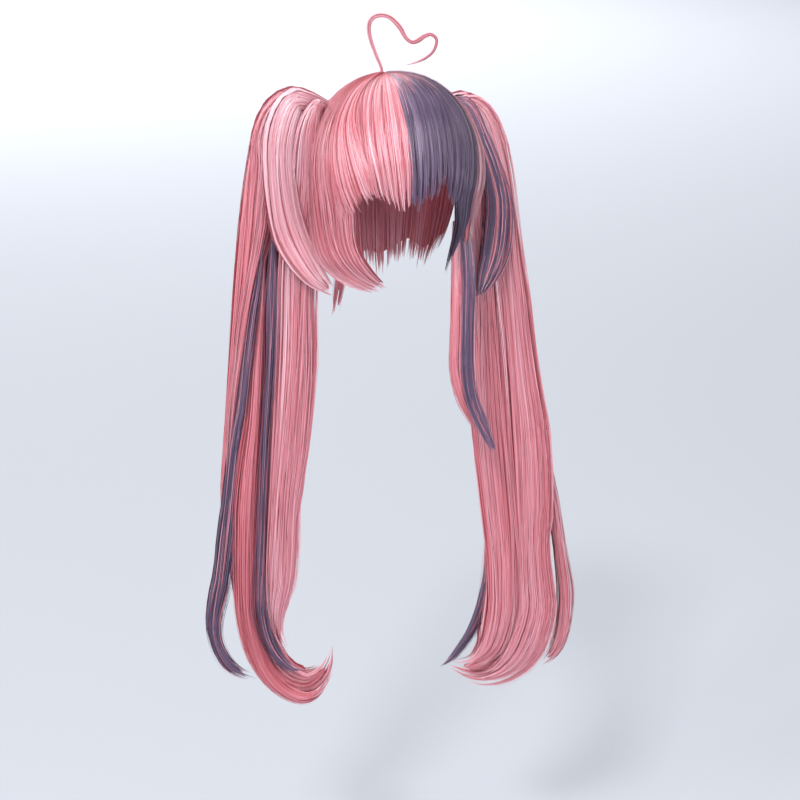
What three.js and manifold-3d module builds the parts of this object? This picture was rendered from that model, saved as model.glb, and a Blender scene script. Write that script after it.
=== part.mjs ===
// A costume wig with a split-colour fringe, a bob back, two clip-on tails and a heart-shaped strand.
// Millimetres, +Z up, the face looks along -Y, and the origin is where the top of the head bears on the cap.
import * as THREE from "three";
import { mergeVertices } from "three/addons/utils/BufferGeometryUtils.js";
import Module from "manifold-3d";

const wasm = await Module();
wasm.setup();

// Driving dimensions
const HEAD_HALF_WIDTH = 77;
const HEAD_HALF_DEPTH = 94;
const HEAD_CROWN = 95; // the top of the head above its widest level
const CAP_WALL = 5.2;
const HAIR_LOFT = 13; // the outside of the laid hair above the head, at the crown
const HAIR_LAYER = 6.7; // thickness of the laid hair
const SKIRT = 100; // one unit of reach below the widest level
const WHORL = { x: -10, y: 12 };
const FIT_GAP = 0.3;
const TAIL_DROP = 750;
const TAIL_SPREAD = 170; // how far the outermost tail hair stands out from the tail's seat
const TAIL_WIDTH = 90;
const TAIL_DEPTH = 58;
const CLIP = { length: 32, width: 30, height: 16, sunk: 2 };
const HEART = { width: 70, height: 57, ribbon: 6, thickness: 2.4 };
const LONG_DROP = 290; // the long side locks, from the temple to their tips
const LONG_SWAY = 60;
const LONG_WIDTH = 14;
const LONG_DEPTH = 9;
const TUFT = { drop: 58, width: 15, depth: 8 };
const EDGE = 0.22; // how thick a lock is at its edges, as a share of its middle
const RIDGE = 0.09; // depth of the ridges along a lock, as a share of its thickness

const PINK = new THREE.Color("#e9929f");
const PURPLE = new THREE.Color("#6f5f7d");
const COPPER = new THREE.Color("#8f5238");

const material = (color, roughness) =>
  new THREE.MeshStandardMaterial({ color, roughness, metalness: 0 });
const pinkHair = material(PINK, 0.42);
const purpleHair = material(PURPLE, 0.46);
const capNet = material(PINK.clone().multiplyScalar(0.8), 0.85);
const clipTape = material(COPPER, 0.7);

// Tables: a line of column names, then one row for each section
const table = (columns, rows) => {
  const names = columns.split(" ");
  return rows.map((row) => Object.fromEntries(names.map((n, i) => [n, row[i]])));
};

// A value at a share of the way through a list, on a smooth curve through its entries.
function along(values, share) {
  const last = values.length - 1;
  const place = Math.min(Math.max(share, 0), 1) * last;
  const i = Math.min(Math.floor(place), last - 1);
  const t = place - i;
  const [a, b] = [values[i], values[i + 1]];
  const slopeA = i > 0 ? (b - values[i - 1]) / 2 : b - a;
  const slopeB = i + 2 <= last ? (values[i + 2] - a) / 2 : b - a;
  const [t2, t3] = [t * t, t * t * t];
  return (
    (2 * t3 - 3 * t2 + 1) * a +
    (t3 - 2 * t2 + t) * slopeA +
    (3 * t2 - 2 * t3) * b +
    (t3 - t2) * slopeB
  );
}

const column = (rows, name) => rows.map((row) => row[name]);

// Solids
function solidFrom(points, faces) {
  const vertProperties = new Float32Array(points.flatMap((p) => [p.x, p.y, p.z]));
  const make = (list) =>
    new wasm.Manifold(
      new wasm.Mesh({ numProp: 3, vertProperties, triVerts: new Uint32Array(list.flat()) }),
    );
  const solid = make(faces);
  return solid.volume() < 0 ? make(faces.map(([a, b, c]) => [a, c, b])) : solid;
}

function solidOf(geometry) {
  const bare = geometry.clone();
  bare.deleteAttribute("normal");
  bare.deleteAttribute("uv");
  const merged = mergeVertices(bare, 1e-4);
  const triVerts = new Uint32Array(merged.index.array);
  return new wasm.Manifold(
    new wasm.Mesh({ numProp: 3, vertProperties: merged.attributes.position.array, triVerts }),
  );
}

function geometryOf(solid) {
  const mesh = solid.getMesh();
  const geometry = new THREE.BufferGeometry();
  geometry.setAttribute("position", new THREE.BufferAttribute(mesh.vertProperties, 3));
  geometry.setIndex(new THREE.BufferAttribute(mesh.triVerts, 1));
  geometry.computeVertexNormals();
  return geometry;
}

// A closed solid through rings of the same size. A ring runs along the front of a section and back along its rear.
function loft(rings) {
  const size = rings[0].length;
  const faces = [];
  const quad = (a, b, c, d) => faces.push([a, b, c], [a, c, d]);
  for (let k = 0; k + 1 < rings.length; k++)
    for (let i = 0; i < size; i++) {
      const j = (i + 1) % size;
      quad(k * size + i, k * size + j, (k + 1) * size + j, (k + 1) * size + i);
    }
  const cap = (base, turned) => {
    for (let i = 0; i + 1 < size / 2; i++) {
      const corners = [base + i, base + i + 1, base + size - 2 - i, base + size - 1 - i];
      quad(...(turned ? corners.reverse() : corners));
    }
  };
  cap(0, true);
  cap((rings.length - 1) * size, false);
  return solidFrom(rings.flat(), faces);
}

// The rounded thickness of a lock across its width, from 0 at one edge to 1 at the other.
const plump = (u) => EDGE + (1 - EDGE) * Math.sqrt(Math.max(0, 1 - (2 * u - 1) ** 2));
const ridge = (u, ridges) => (1 - RIDGE) + RIDGE * Math.cos(2 * Math.PI * ridges * u);

// The head form, grown by a lift. Turn is in degrees round the whorl from the face, towards +X. Reach is 0 at the
// whorl, 1 at the widest level, and grows by 1 for each skirt length below it.
function headPoint(turn, reach, lift) {
  const a = HEAD_HALF_WIDTH + lift;
  const b = HEAD_HALF_DEPTH + lift;
  const c = HEAD_CROWN + lift;
  const angle = THREE.MathUtils.degToRad(turn);
  const polar = (Math.min(reach, 1) * Math.PI) / 2;
  const way = new THREE.Vector3(
    Math.sin(polar) * Math.sin(angle),
    -Math.sin(polar) * Math.cos(angle),
    Math.cos(polar),
  );
  const square = (way.x / a) ** 2 + (way.y / b) ** 2 + (way.z / c) ** 2;
  const cross = (WHORL.x * way.x) / a ** 2 + (WHORL.y * way.y) / b ** 2;
  const rest = (WHORL.x / a) ** 2 + (WHORL.y / b) ** 2 - 1;
  const distance = (-cross + Math.sqrt(cross * cross - square * rest)) / square;
  return new THREE.Vector3(
    WHORL.x + distance * way.x,
    WHORL.y + distance * way.y,
    distance * way.z - HEAD_CROWN - Math.max(reach - 1, 0) * SKIRT,
  );
}

// The cap: a hollow wall over the whole head form, open below and round the face
const CAP_COLUMNS = 22;
const CAP_ROWS = 6;
const CAP_NAPE_TUCK = 5; // how far the nape is drawn in
const CAP_RIM = [0.8, 0.82, 1.02, 1.28, 1.2, 1.14, 1.3, 1.5, 1.62]; // reach of the rim, from the face to the nape
const rimReach = (turn) => along(CAP_RIM, (180 - Math.abs(180 - turn)) / 180);

function capSolid(grow = 0) {
  const points = [];
  const faces = [];
  const skin = (lift) => {
    const pole = points.push(headPoint(0, 0, lift)) - 1;
    for (let k = 1; k <= CAP_ROWS; k++)
      for (let i = 0; i < CAP_COLUMNS; i++) {
        const turn = (360 * i) / CAP_COLUMNS;
        const reach = (rimReach(turn) * k) / CAP_ROWS;
        points.push(headPoint(turn, reach, lift - CAP_NAPE_TUCK * Math.max(reach - 1, 0)));
      }
    return pole;
  };
  const inner = skin(-grow);
  const outer = skin(CAP_WALL + grow);
  const at = (pole, k, i) => pole + 1 + (k - 1) * CAP_COLUMNS + (i % CAP_COLUMNS);
  for (let i = 0; i < CAP_COLUMNS; i++) {
    faces.push([outer, at(outer, 1, i), at(outer, 1, i + 1)]);
    faces.push([inner, at(inner, 1, i + 1), at(inner, 1, i)]);
    for (let k = 1; k < CAP_ROWS; k++) {
      const [p, q] = [at(outer, k, i), at(outer, k, i + 1)];
      const [r, s] = [at(outer, k + 1, i + 1), at(outer, k + 1, i)];
      faces.push([p, s, r], [p, r, q]);
      const [e, f] = [at(inner, k, i), at(inner, k, i + 1)];
      const [g, h] = [at(inner, k + 1, i + 1), at(inner, k + 1, i)];
      faces.push([e, f, g], [e, g, h]);
    }
    const [o, n] = [at(outer, CAP_ROWS, i), at(outer, CAP_ROWS, i + 1)];
    const [l, m] = [at(inner, CAP_ROWS, i + 1), at(inner, CAP_ROWS, i)];
    faces.push([o, m, l], [o, l, n]);
  }
  return solidFrom(points, faces);
}

// A panel of laid hair: strands from the whorl to a hem. Each row is a share of the way down the strands, with the
// turn and lift of both edges and the thickness. Lifts are shares of the hair's loft, thicknesses of its layer.
const PANEL_COLUMNS = "share turnA turnB liftA liftB thick";

function panelSolid({ hem, rows, ridges, stations }, grow = 0) {
  const steps = 2 * ridges;
  const rings = [];
  for (let k = 0; k <= stations; k++) {
    const t = k / stations;
    const at = (name) => along(column(rows, name), t);
    const level = at("share") * along(hem, 0.5);
    const edges = [at("turnA"), at("turnB")].map((turn) => headPoint(turn, level, HAIR_LOFT));
    const spread = grow / edges[0].distanceTo(edges[1]);
    const end = (grow / SKIRT) * (k === 0 ? -0.5 : k === stations ? 1 : 0);
    const front = [];
    const rear = [];
    for (let i = 0; i <= steps; i++) {
      const u = i / steps;
      const across = THREE.MathUtils.lerp(-spread, 1 + spread, u);
      const turn = THREE.MathUtils.lerp(at("turnA"), at("turnB"), across);
      const reach = at("share") * along(hem, u) + end;
      const lift = HAIR_LOFT * THREE.MathUtils.lerp(at("liftA"), at("liftB"), u);
      const layer = HAIR_LAYER * at("thick");
      const crest = layer * (1 - Math.min(1, 0.35 + plump(u)) * ridge(u, ridges));
      front.push(headPoint(turn, reach, lift - crest + grow));
      rear.push(headPoint(turn, reach, lift - layer - grow));
    }
    rings.push([...front, ...rear.reverse()]);
  }
  return loft(rings);
}

const fringePink = {
  hem: [0.96, 0.99, 1.02, 1.06, 1.12, 1.15, 1.08],
  ridges: 4,
  stations: 9,
  rows: table(PANEL_COLUMNS, [
    [0.07, -52, -2, 1, 1, 0.6],
    [0.25, -47, -1.2, 1, 1, 1],
    [0.5, -38, -0.7, 1, 1, 1],
    [0.75, -28, -0.4, 1, 1, 1],
    [1, -19, -0.3, 1.04, 1.02, 0.45],
  ]),
};

const fringePurple = {
  hem: [1.11, 1.18, 1.07, 1.08, 1.06, 1.0, 1.1, 1.18, 1.2],
  ridges: 4,
  stations: 9,
  rows: table(PANEL_COLUMNS, [
    [0.065, 2, 50, 1, 1, 0.6],
    [0.25, 1.2, 46, 1, 1, 1],
    [0.5, 0.7, 39, 1, 1, 1],
    [0.75, 0.5, 32, 1.02, 1, 1],
    [1, 0.4, 27.5, 1.04, 0.86, 0.45],
  ]),
};

const curtainPink = {
  hem: [2.23, 2.2, 2.17, 2.14],
  ridges: 3,
  stations: 15,
  rows: table(PANEL_COLUMNS, [
    [0.035, -97.5, -52.5, 1.1, 1, 0.6],
    [0.12, -97.5, -48.5, 1.3, 1, 1],
    [0.21, -97, -44, 1.4, 1, 1],
    [0.3, -96, -35.5, 1.4, 1, 1],
    [0.38, -94, -26.5, 1.25, 1.02, 1],
    [0.46, -91, -19.8, 1.4, 1.03, 1],
    [0.53, -87, -24, 1.46, 0.9, 1],
    [0.61, -84, -30.5, 1.38, 0.68, 1],
    [0.69, -82, -33, 1.18, 0.4, 1],
    [0.77, -77, -31.5, 0.95, 0.16, 0.95],
    [0.85, -68, -26.5, 0.66, -0.2, 0.85],
    [0.92, -54, -19.5, 0.05, -0.85, 0.7],
    [0.97, -36, -13, -0.75, -1.4, 0.5],
    [1, -16, -9, -1.8, -1.7, 0.25],
  ]),
};

const sideLockPurple = {
  hem: [1.97, 1.97],
  ridges: 3,
  stations: 14,
  rows: table(PANEL_COLUMNS, [
    [0.04, 50.5, 88, 1, 1, 0.6],
    [0.14, 46.6, 80, 1, 1, 1],
    [0.24, 41, 70, 1, 1, 1],
    [0.34, 36, 58, 1, 1.02, 1],
    [0.44, 31, 47, 1, 1.05, 1],
    [0.54, 28, 41.5, 0.84, 0.96, 1],
    [0.63, 29.8, 43, 0.56, 0.6, 1],
    [0.72, 33, 45, 0.17, 0.25, 0.9],
    [0.81, 34.3, 42, -0.28, -0.25, 0.8],
    [0.9, 32.4, 36.5, -0.6, -0.6, 0.6],
    [1, 28.8, 31, -0.85, -0.85, 0.25],
  ]),
};

const sideEdgePink = {
  hem: [2, 2],
  ridges: 3,
  stations: 13,
  rows: table(PANEL_COLUMNS, [
    [0.04, 88.6, 111.5, 1, 1, 0.6],
    [0.14, 80.8, 111.5, 1, 1, 1],
    [0.24, 70.8, 111, 1, 1.08, 1],
    [0.34, 58.8, 110, 1.02, 1.2, 1],
    [0.44, 47.8, 107, 1.05, 1.32, 1],
    [0.54, 42.3, 105, 0.96, 1.36, 1],
    [0.63, 43.8, 102, 0.6, 1.22, 1],
    [0.72, 46, 98, 0.3, 1, 0.95],
    [0.82, 50, 92, 0.05, 0.6, 0.85],
    [0.91, 56, 84, -0.15, 0.15, 0.6],
    [1, 63, 72, -0.35, -0.3, 0.25],
  ]),
};

const BACK_ROWS = (turnA, turnB, swell) =>
  table(PANEL_COLUMNS, [
    [0.035, turnA, turnB, 1, 1 + 0.25 * swell, 0.6],
    [0.12, turnA, turnB, 1, 1 + swell, 1],
    [0.29, turnA, turnB, 1.08, 1.08 + swell, 1],
    [0.43, turnA, turnB, 1.25, 1.25 + 0.3 * swell, 1],
    [0.57, turnA, turnB, 1.2, 1.2, 1],
    [0.71, turnA, turnB, 0.85, 0.85, 1],
    [0.86, turnA, turnB, 0.1, 0.1, 0.85],
    [1, turnA, turnB, -1, -1, 0.3],
  ]);

const backPanels = [
  { name: "back_right", hem: [2.02, 2.16, 2.3, 2.2, 2.3], turns: [112.5, 160], swell: 0 },
  { name: "back_middle", hem: [2.3, 2.4, 2.34, 2.46, 2.3], turns: [160.6, 208], swell: 0 },
  { name: "back_left", hem: [2.3, 2.2, 2.3, 2.16, 2.02], turns: [208.6, 261.5], swell: 0.3 },
].map(({ name, hem, turns, swell }) => ({
  name,
  hem,
  ridges: 4,
  stations: 10,
  rows: BACK_ROWS(...turns, swell),
}));

// A lock: a plump ribbon of hair swept through its rows. Width lies across the wig, depth from front to back.
const FRONT = new THREE.Vector3(0, -1, 0);

function lockSolid({ points, widths, depths, ridges, stations }, grow = 0) {
  const steps = 2 * ridges;
  const centre = (t) =>
    new THREE.Vector3(...["x", "y", "z"].map((axis) => along(column(points, axis), t)));
  const rings = [];
  for (let k = 0; k <= stations; k++) {
    const t = k / stations;
    const step = 0.5 / stations;
    const before = centre(Math.max(t - step, 0));
    const tangent = centre(Math.min(t + step, 1)).sub(before).normalize();
    const side = new THREE.Vector3().crossVectors(tangent, FRONT).normalize();
    const out = new THREE.Vector3().crossVectors(side, tangent).normalize();
    const end = grow * (k === 0 ? -1 : k === stations ? 1 : 0);
    const middle = centre(t).addScaledVector(tangent, end);
    const half = along(widths, t) / 2 + grow;
    const deep = along(depths, t) / 2;
    const ring = (sign) =>
      Array.from({ length: steps + 1 }, (_, i) => {
        const u = i / steps;
        const thick = deep * plump(u) * ridge(u, ridges) + grow;
        return middle
          .clone()
          .addScaledVector(side, half * (2 * u - 1))
          .addScaledVector(out, sign * thick);
      });
    rings.push([...ring(1), ...ring(-1).reverse()]);
  }
  return loft(rings);
}

// Where a tail is clipped to the laid hair, on the side of the head given by the sign
const SEAT_BACK = 0.48; // shares of the head's half depth and of its crown
const SEAT_DOWN = 0.25;

function tailSeat(sign) {
  const y = SEAT_BACK * HEAD_HALF_DEPTH;
  const z = -SEAT_DOWN * HEAD_CROWN;
  const depth = y / (HEAD_HALF_DEPTH + HAIR_LOFT);
  const rise = (z + HEAD_CROWN) / (HEAD_CROWN + HAIR_LOFT);
  const x = (HEAD_HALF_WIDTH + HAIR_LOFT) * Math.sqrt(1 - depth ** 2 - rise ** 2);
  return new THREE.Vector3(sign * x, y, z);
}

// Tail rows: shares of the tail's drop, spread, depth, width and depth again
const TAIL_COLUMNS = "down across back width depth";

function tailLock(sign, ridges, stations, rows) {
  const seat = tailSeat(sign);
  const cells = table(TAIL_COLUMNS, rows);
  return {
    points: cells.map(({ down, across, back }) => ({
      x: seat.x + sign * across * TAIL_SPREAD,
      y: seat.y + back * TAIL_DEPTH,
      z: seat.z - down * TAIL_DROP,
    })),
    widths: cells.map(({ width }) => width * TAIL_WIDTH),
    depths: cells.map(({ depth }) => depth * TAIL_DEPTH),
    ridges,
    stations,
  };
}

const leftTail = {
  overlay: tailLock(-1, 3, 13, [
    [0.013, 0.15, -0.16, 0.16, 0.2],
    [-0.006, 0.22, -0.36, 0.28, 0.22],
    [-0.004, 0.31, -0.5, 0.34, 0.22],
    [0.027, 0.38, -0.56, 0.36, 0.24],
    [0.072, 0.405, -0.575, 0.36, 0.27],
    [0.13, 0.388, -0.575, 0.4, 0.27],
    [0.177, 0.347, -0.6, 0.42, 0.25],
    [0.212, 0.282, -0.69, 0.36, 0.18],
    [0.239, 0.206, -0.75, 0.27, 0.15],
    [0.255, 0.135, -0.8, 0.16, 0.1],
    [0.27, 0.06, -0.84, 0.04, 0.04],
  ]),
  streak_outer: tailLock(-1, 2, 17, [
    [0.155, 0.494, -0.3, 0.05, 0.26],
    [0.25, 0.55, -0.27, 0.1, 0.42],
    [0.3, 0.594, -0.26, 0.11, 0.44],
    [0.364, 0.64, -0.25, 0.11, 0.44],
    [0.44, 0.685, -0.25, 0.12, 0.44],
    [0.493, 0.735, -0.24, 0.12, 0.44],
    [0.597, 0.794, -0.22, 0.14, 0.42],
    [0.657, 0.826, -0.2, 0.19, 0.4],
    [0.724, 0.862, -0.16, 0.19, 0.38],
    [0.768, 0.9, -0.12, 0.2, 0.36],
    [0.813, 0.93, -0.1, 0.18, 0.34],
    [0.848, 0.912, -0.1, 0.15, 0.3],
    [0.885, 0.847, -0.1, 0.14, 0.24],
    [0.909, 0.741, -0.1, 0.1, 0.16],
    [0.923, 0.61, -0.1, 0.03, 0.05],
  ]),
  streak_inner: tailLock(-1, 2, 15, [
    [0.168, 0.44, -0.3, 0.05, 0.26],
    [0.24, 0.453, -0.27, 0.14, 0.42],
    [0.3, 0.47, -0.26, 0.15, 0.44],
    [0.379, 0.49, -0.25, 0.12, 0.44],
    [0.457, 0.524, -0.25, 0.11, 0.44],
    [0.528, 0.544, -0.24, 0.12, 0.44],
    [0.661, 0.585, -0.24, 0.12, 0.42],
    [0.741, 0.606, -0.24, 0.13, 0.4],
    [0.79, 0.603, -0.24, 0.14, 0.36],
    [0.844, 0.559, -0.24, 0.13, 0.3],
    [0.883, 0.476, -0.24, 0.13, 0.24],
    [0.907, 0.37, -0.24, 0.1, 0.16],
    [0.912, 0.24, -0.24, 0.03, 0.05],
  ]),
  middle: tailLock(-1, 2, 16, [
    [0.21, 0.5, -0.24, 0.05, 0.3],
    [0.3, 0.538, -0.24, 0.08, 0.42],
    [0.364, 0.57, -0.24, 0.14, 0.42],
    [0.457, 0.606, -0.24, 0.17, 0.44],
    [0.53, 0.65, -0.24, 0.23, 0.44],
    [0.597, 0.68, -0.23, 0.27, 0.42],
    [0.66, 0.697, -0.22, 0.26, 0.4],
    [0.74, 0.71, -0.21, 0.23, 0.38],
    [0.795, 0.706, -0.2, 0.21, 0.36],
    [0.85, 0.667, -0.2, 0.2, 0.32],
    [0.897, 0.6, -0.2, 0.17, 0.26],
    [0.939, 0.482, -0.2, 0.14, 0.2],
    [0.963, 0.33, -0.2, 0.13, 0.14],
    [0.957, 0.21, -0.2, 0.09, 0.1],
    [0.93, 0.13, -0.2, 0.03, 0.04],
  ]),
  front_outer: tailLock(-1, 3, 15, [
    [0.013, 0.165, -0.12, 0.16, 0.22],
    [0, 0.21, -0.19, 0.26, 0.38],
    [-0.003, 0.295, -0.24, 0.33, 0.45],
    [0.016, 0.39, -0.24, 0.38, 0.47],
    [0.05, 0.447, -0.24, 0.38, 0.47],
    [0.08, 0.457, -0.24, 0.36, 0.47],
    [0.13, 0.5, -0.24, 0.3, 0.47],
    [0.18, 0.535, -0.24, 0.24, 0.46],
    [0.25, 0.6, -0.24, 0.14, 0.44],
    [0.31, 0.65, -0.24, 0.11, 0.42],
    [0.38, 0.7, -0.24, 0.09, 0.38],
    [0.46, 0.75, -0.24, 0.07, 0.34],
    [0.54, 0.79, -0.24, 0.05, 0.28],
    [0.6, 0.82, -0.24, 0.03, 0.12],
  ]),
  front_inner: tailLock(-1, 3, 15, [
    [0.016, 0.165, -0.26, 0.16, 0.2],
    [0.035, 0.21, -0.3, 0.26, 0.4],
    [0.08, 0.225, -0.26, 0.33, 0.47],
    [0.13, 0.235, -0.24, 0.34, 0.47],
    [0.18, 0.28, -0.24, 0.42, 0.47],
    [0.24, 0.294, -0.24, 0.44, 0.47],
    [0.3, 0.306, -0.24, 0.46, 0.47],
    [0.377, 0.318, -0.24, 0.53, 0.46],
    [0.46, 0.35, -0.24, 0.52, 0.45],
    [0.528, 0.38, -0.24, 0.5, 0.44],
    [0.595, 0.418, -0.24, 0.42, 0.42],
    [0.66, 0.44, -0.24, 0.42, 0.4],
    [0.74, 0.465, -0.24, 0.38, 0.36],
    [0.795, 0.5, -0.24, 0.22, 0.28],
    [0.84, 0.482, -0.24, 0.14, 0.18],
    [0.888, 0.388, -0.24, 0.03, 0.04],
  ]),
  back: tailLock(-1, 3, 18, [
    [0.01, 0.12, 0.1, 0.16, 0.22],
    [0, 0.2, 0.16, 0.26, 0.4],
    [0.004, 0.28, 0.24, 0.34, 0.5],
    [0.024, 0.35, 0.26, 0.42, 0.52],
    [0.06, 0.39, 0.26, 0.54, 0.52],
    [0.1, 0.39, 0.26, 0.66, 0.52],
    [0.18, 0.41, 0.26, 0.8, 0.52],
    [0.3, 0.435, 0.26, 0.93, 0.5],
    [0.43, 0.475, 0.26, 1, 0.48],
    [0.54, 0.52, 0.26, 1.03, 0.46],
    [0.635, 0.575, 0.24, 0.95, 0.44],
    [0.715, 0.575, 0.23, 0.82, 0.42],
    [0.77, 0.575, 0.21, 0.74, 0.4],
    [0.83, 0.605, 0.19, 0.55, 0.38],
    [0.885, 0.565, 0.17, 0.46, 0.36],
    [0.93, 0.45, 0.15, 0.42, 0.34],
    [0.95, 0.3, 0.13, 0.4, 0.3],
    [0.94, 0.185, 0.12, 0.28, 0.22],
    [0.915, 0.115, 0.11, 0.15, 0.12],
    [0.88, 0.085, 0.11, 0.04, 0.04],
  ]),
};

const rightTail = {
  overlay: tailLock(1, 3, 13, [
    [0.012, 0.08, -0.16, 0.14, 0.2],
    [0.006, 0.14, -0.36, 0.22, 0.22],
    [0.02, 0.21, -0.5, 0.28, 0.22],
    [0.053, 0.268, -0.56, 0.3, 0.24],
    [0.09, 0.325, -0.575, 0.3, 0.27],
    [0.141, 0.365, -0.575, 0.33, 0.27],
    [0.19, 0.359, -0.59, 0.36, 0.25],
    [0.227, 0.335, -0.64, 0.34, 0.2],
    [0.256, 0.288, -0.69, 0.26, 0.16],
    [0.279, 0.241, -0.74, 0.13, 0.1],
    [0.296, 0.2, -0.77, 0.04, 0.04],
  ]),
  streak_back: tailLock(1, 2, 12, [
    [0.6, 0.44, 0.3, 0.05, 0.16],
    [0.68, 0.456, 0.3, 0.08, 0.26],
    [0.724, 0.458, 0.3, 0.1, 0.3],
    [0.768, 0.45, 0.3, 0.12, 0.32],
    [0.815, 0.426, 0.28, 0.12, 0.3],
    [0.861, 0.37, 0.24, 0.12, 0.26],
    [0.897, 0.3, 0.2, 0.11, 0.22],
    [0.924, 0.21, 0.16, 0.09, 0.16],
    [0.941, 0.14, 0.14, 0.06, 0.1],
    [0.955, 0.035, 0.12, 0.03, 0.04],
  ]),
  outer: tailLock(1, 2, 12, [
    [0.54, 0.776, 0, 0.06, 0.16],
    [0.6, 0.823, 0, 0.12, 0.34],
    [0.66, 0.878, 0, 0.13, 0.4],
    [0.72, 0.92, -0.03, 0.13, 0.4],
    [0.768, 0.955, -0.05, 0.14, 0.38],
    [0.83, 0.995, -0.05, 0.17, 0.36],
    [0.895, 0.98, -0.08, 0.16, 0.3],
    [0.935, 0.924, -0.1, 0.13, 0.22],
    [0.964, 0.81, -0.1, 0.03, 0.04],
  ]),
  front_inner: tailLock(1, 3, 15, [
    [0.016, 0.165, -0.26, 0.16, 0.2],
    [0.035, 0.19, -0.3, 0.26, 0.4],
    [0.08, 0.21, -0.26, 0.3, 0.47],
    [0.13, 0.22, -0.24, 0.32, 0.47],
    [0.19, 0.24, -0.24, 0.34, 0.47],
    [0.247, 0.285, -0.24, 0.45, 0.47],
    [0.3, 0.31, -0.24, 0.46, 0.47],
    [0.377, 0.332, -0.24, 0.52, 0.46],
    [0.46, 0.365, -0.24, 0.53, 0.45],
    [0.54, 0.4, -0.24, 0.51, 0.44],
    [0.66, 0.46, -0.24, 0.46, 0.42],
    [0.723, 0.488, -0.24, 0.42, 0.4],
    [0.795, 0.503, -0.24, 0.41, 0.38],
    [0.848, 0.5, -0.24, 0.42, 0.34],
    [0.904, 0.447, -0.22, 0.38, 0.28],
    [0.933, 0.335, -0.2, 0.26, 0.18],
    [0.952, 0.176, -0.18, 0.04, 0.04],
  ]),
  front_outer: tailLock(1, 3, 17, [
    [0.014, 0.1, -0.12, 0.14, 0.22],
    [0.009, 0.16, -0.19, 0.22, 0.38],
    [0.014, 0.22, -0.24, 0.28, 0.45],
    [0.032, 0.275, -0.24, 0.31, 0.47],
    [0.06, 0.325, -0.24, 0.31, 0.47],
    [0.09, 0.365, -0.24, 0.29, 0.47],
    [0.13, 0.41, -0.24, 0.24, 0.47],
    [0.19, 0.45, -0.24, 0.24, 0.46],
    [0.247, 0.475, -0.24, 0.3, 0.46],
    [0.3, 0.51, -0.24, 0.34, 0.46],
    [0.377, 0.556, -0.24, 0.37, 0.46],
    [0.46, 0.61, -0.24, 0.42, 0.45],
    [0.54, 0.665, -0.24, 0.49, 0.44],
    [0.66, 0.7, -0.24, 0.5, 0.42],
    [0.723, 0.703, -0.24, 0.44, 0.4],
    [0.795, 0.735, -0.24, 0.5, 0.38],
    [0.848, 0.755, -0.24, 0.56, 0.34],
    [0.917, 0.682, -0.22, 0.62, 0.3],
    [0.957, 0.54, -0.2, 0.44, 0.24],
    [0.97, 0.365, -0.18, 0.22, 0.14],
    [0.963, 0.235, -0.18, 0.04, 0.04],
  ]),
  back: tailLock(1, 3, 17, [
    [0.02, 0.08, 0.1, 0.16, 0.22],
    [0.012, 0.14, 0.16, 0.24, 0.4],
    [0.016, 0.21, 0.24, 0.3, 0.5],
    [0.035, 0.27, 0.26, 0.38, 0.52],
    [0.065, 0.305, 0.26, 0.48, 0.52],
    [0.1, 0.32, 0.26, 0.56, 0.52],
    [0.18, 0.345, 0.26, 0.66, 0.52],
    [0.3, 0.4, 0.26, 0.8, 0.5],
    [0.43, 0.475, 0.26, 0.92, 0.48],
    [0.54, 0.56, 0.26, 0.94, 0.46],
    [0.635, 0.62, 0.24, 0.86, 0.44],
    [0.715, 0.625, 0.23, 0.8, 0.42],
    [0.77, 0.64, 0.21, 0.88, 0.4],
    [0.83, 0.665, 0.2, 1, 0.38],
    [0.895, 0.61, 0.18, 0.94, 0.34],
    [0.938, 0.5, 0.15, 0.72, 0.3],
    [0.956, 0.35, 0.13, 0.42, 0.24],
    [0.952, 0.21, 0.12, 0.18, 0.14],
    [0.942, 0.1, 0.12, 0.04, 0.04],
  ]),
};

// The clip that holds a tail: one plain block, from the laid hair out to the tail's roots
function clipSolid(sign, grow = 0) {
  const seat = tailSeat(sign);
  const block = new THREE.BoxGeometry(
    CLIP.length + 2 * grow,
    CLIP.width + 2 * grow,
    CLIP.height + 2 * grow,
  );
  const reach = CLIP.length / 2 - CLIP.sunk;
  block.translate(seat.x + sign * reach, seat.y, seat.z - CLIP.height / 2);
  return solidOf(block);
}

// The heart strand: shares of the heart's width from the whorl and of its height above the hair, the ribbon's
// width and thickness as shares, in order from the root to the free tip
const heartRows = table("x z width thick", [
  [-0.02, -0.18, 0.5, 1.2],
  [-0.06, 0.08, 0.55, 1],
  [-0.135, 0.3, 0.62, 1],
  [-0.21, 0.55, 0.7, 1],
  [-0.245, 0.77, 0.85, 1],
  [-0.22, 0.92, 1, 1],
  [-0.13, 1, 1, 1],
  [0, 1, 0.9, 1],
  [0.11, 0.93, 1, 1],
  [0.23, 0.77, 1.05, 1],
  [0.31, 0.6, 0.8, 1],
  [0.41, 0.51, 0.75, 1],
  [0.51, 0.54, 0.95, 1],
  [0.6, 0.61, 0.85, 1],
  [0.7, 0.64, 0.65, 1],
  [0.785, 0.55, 0.6, 1],
  [0.76, 0.39, 0.55, 1],
  [0.67, 0.26, 0.5, 0.9],
  [0.49, 0.15, 0.4, 0.8],
  [0.22, 0.08, 0.2, 0.6],
]);

const heart = {
  points: heartRows.map(({ x, z }) => ({
    x: WHORL.x + x * HEART.width,
    y: WHORL.y,
    z: HAIR_LOFT + z * HEART.height,
  })),
  widths: column(heartRows, "width").map((share) => share * HEART.ribbon),
  depths: column(heartRows, "thick").map((share) => share * HEART.thickness * 2),
  ridges: 1,
  stations: 34,
};

// The long locks at the right temple: shares of their drop, sway, width and depth, from under the side lock
const LONG_COLUMNS = "down across front width depth";
const temple = headPoint(59, 1.3, -HAIR_LAYER - 2);

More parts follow.
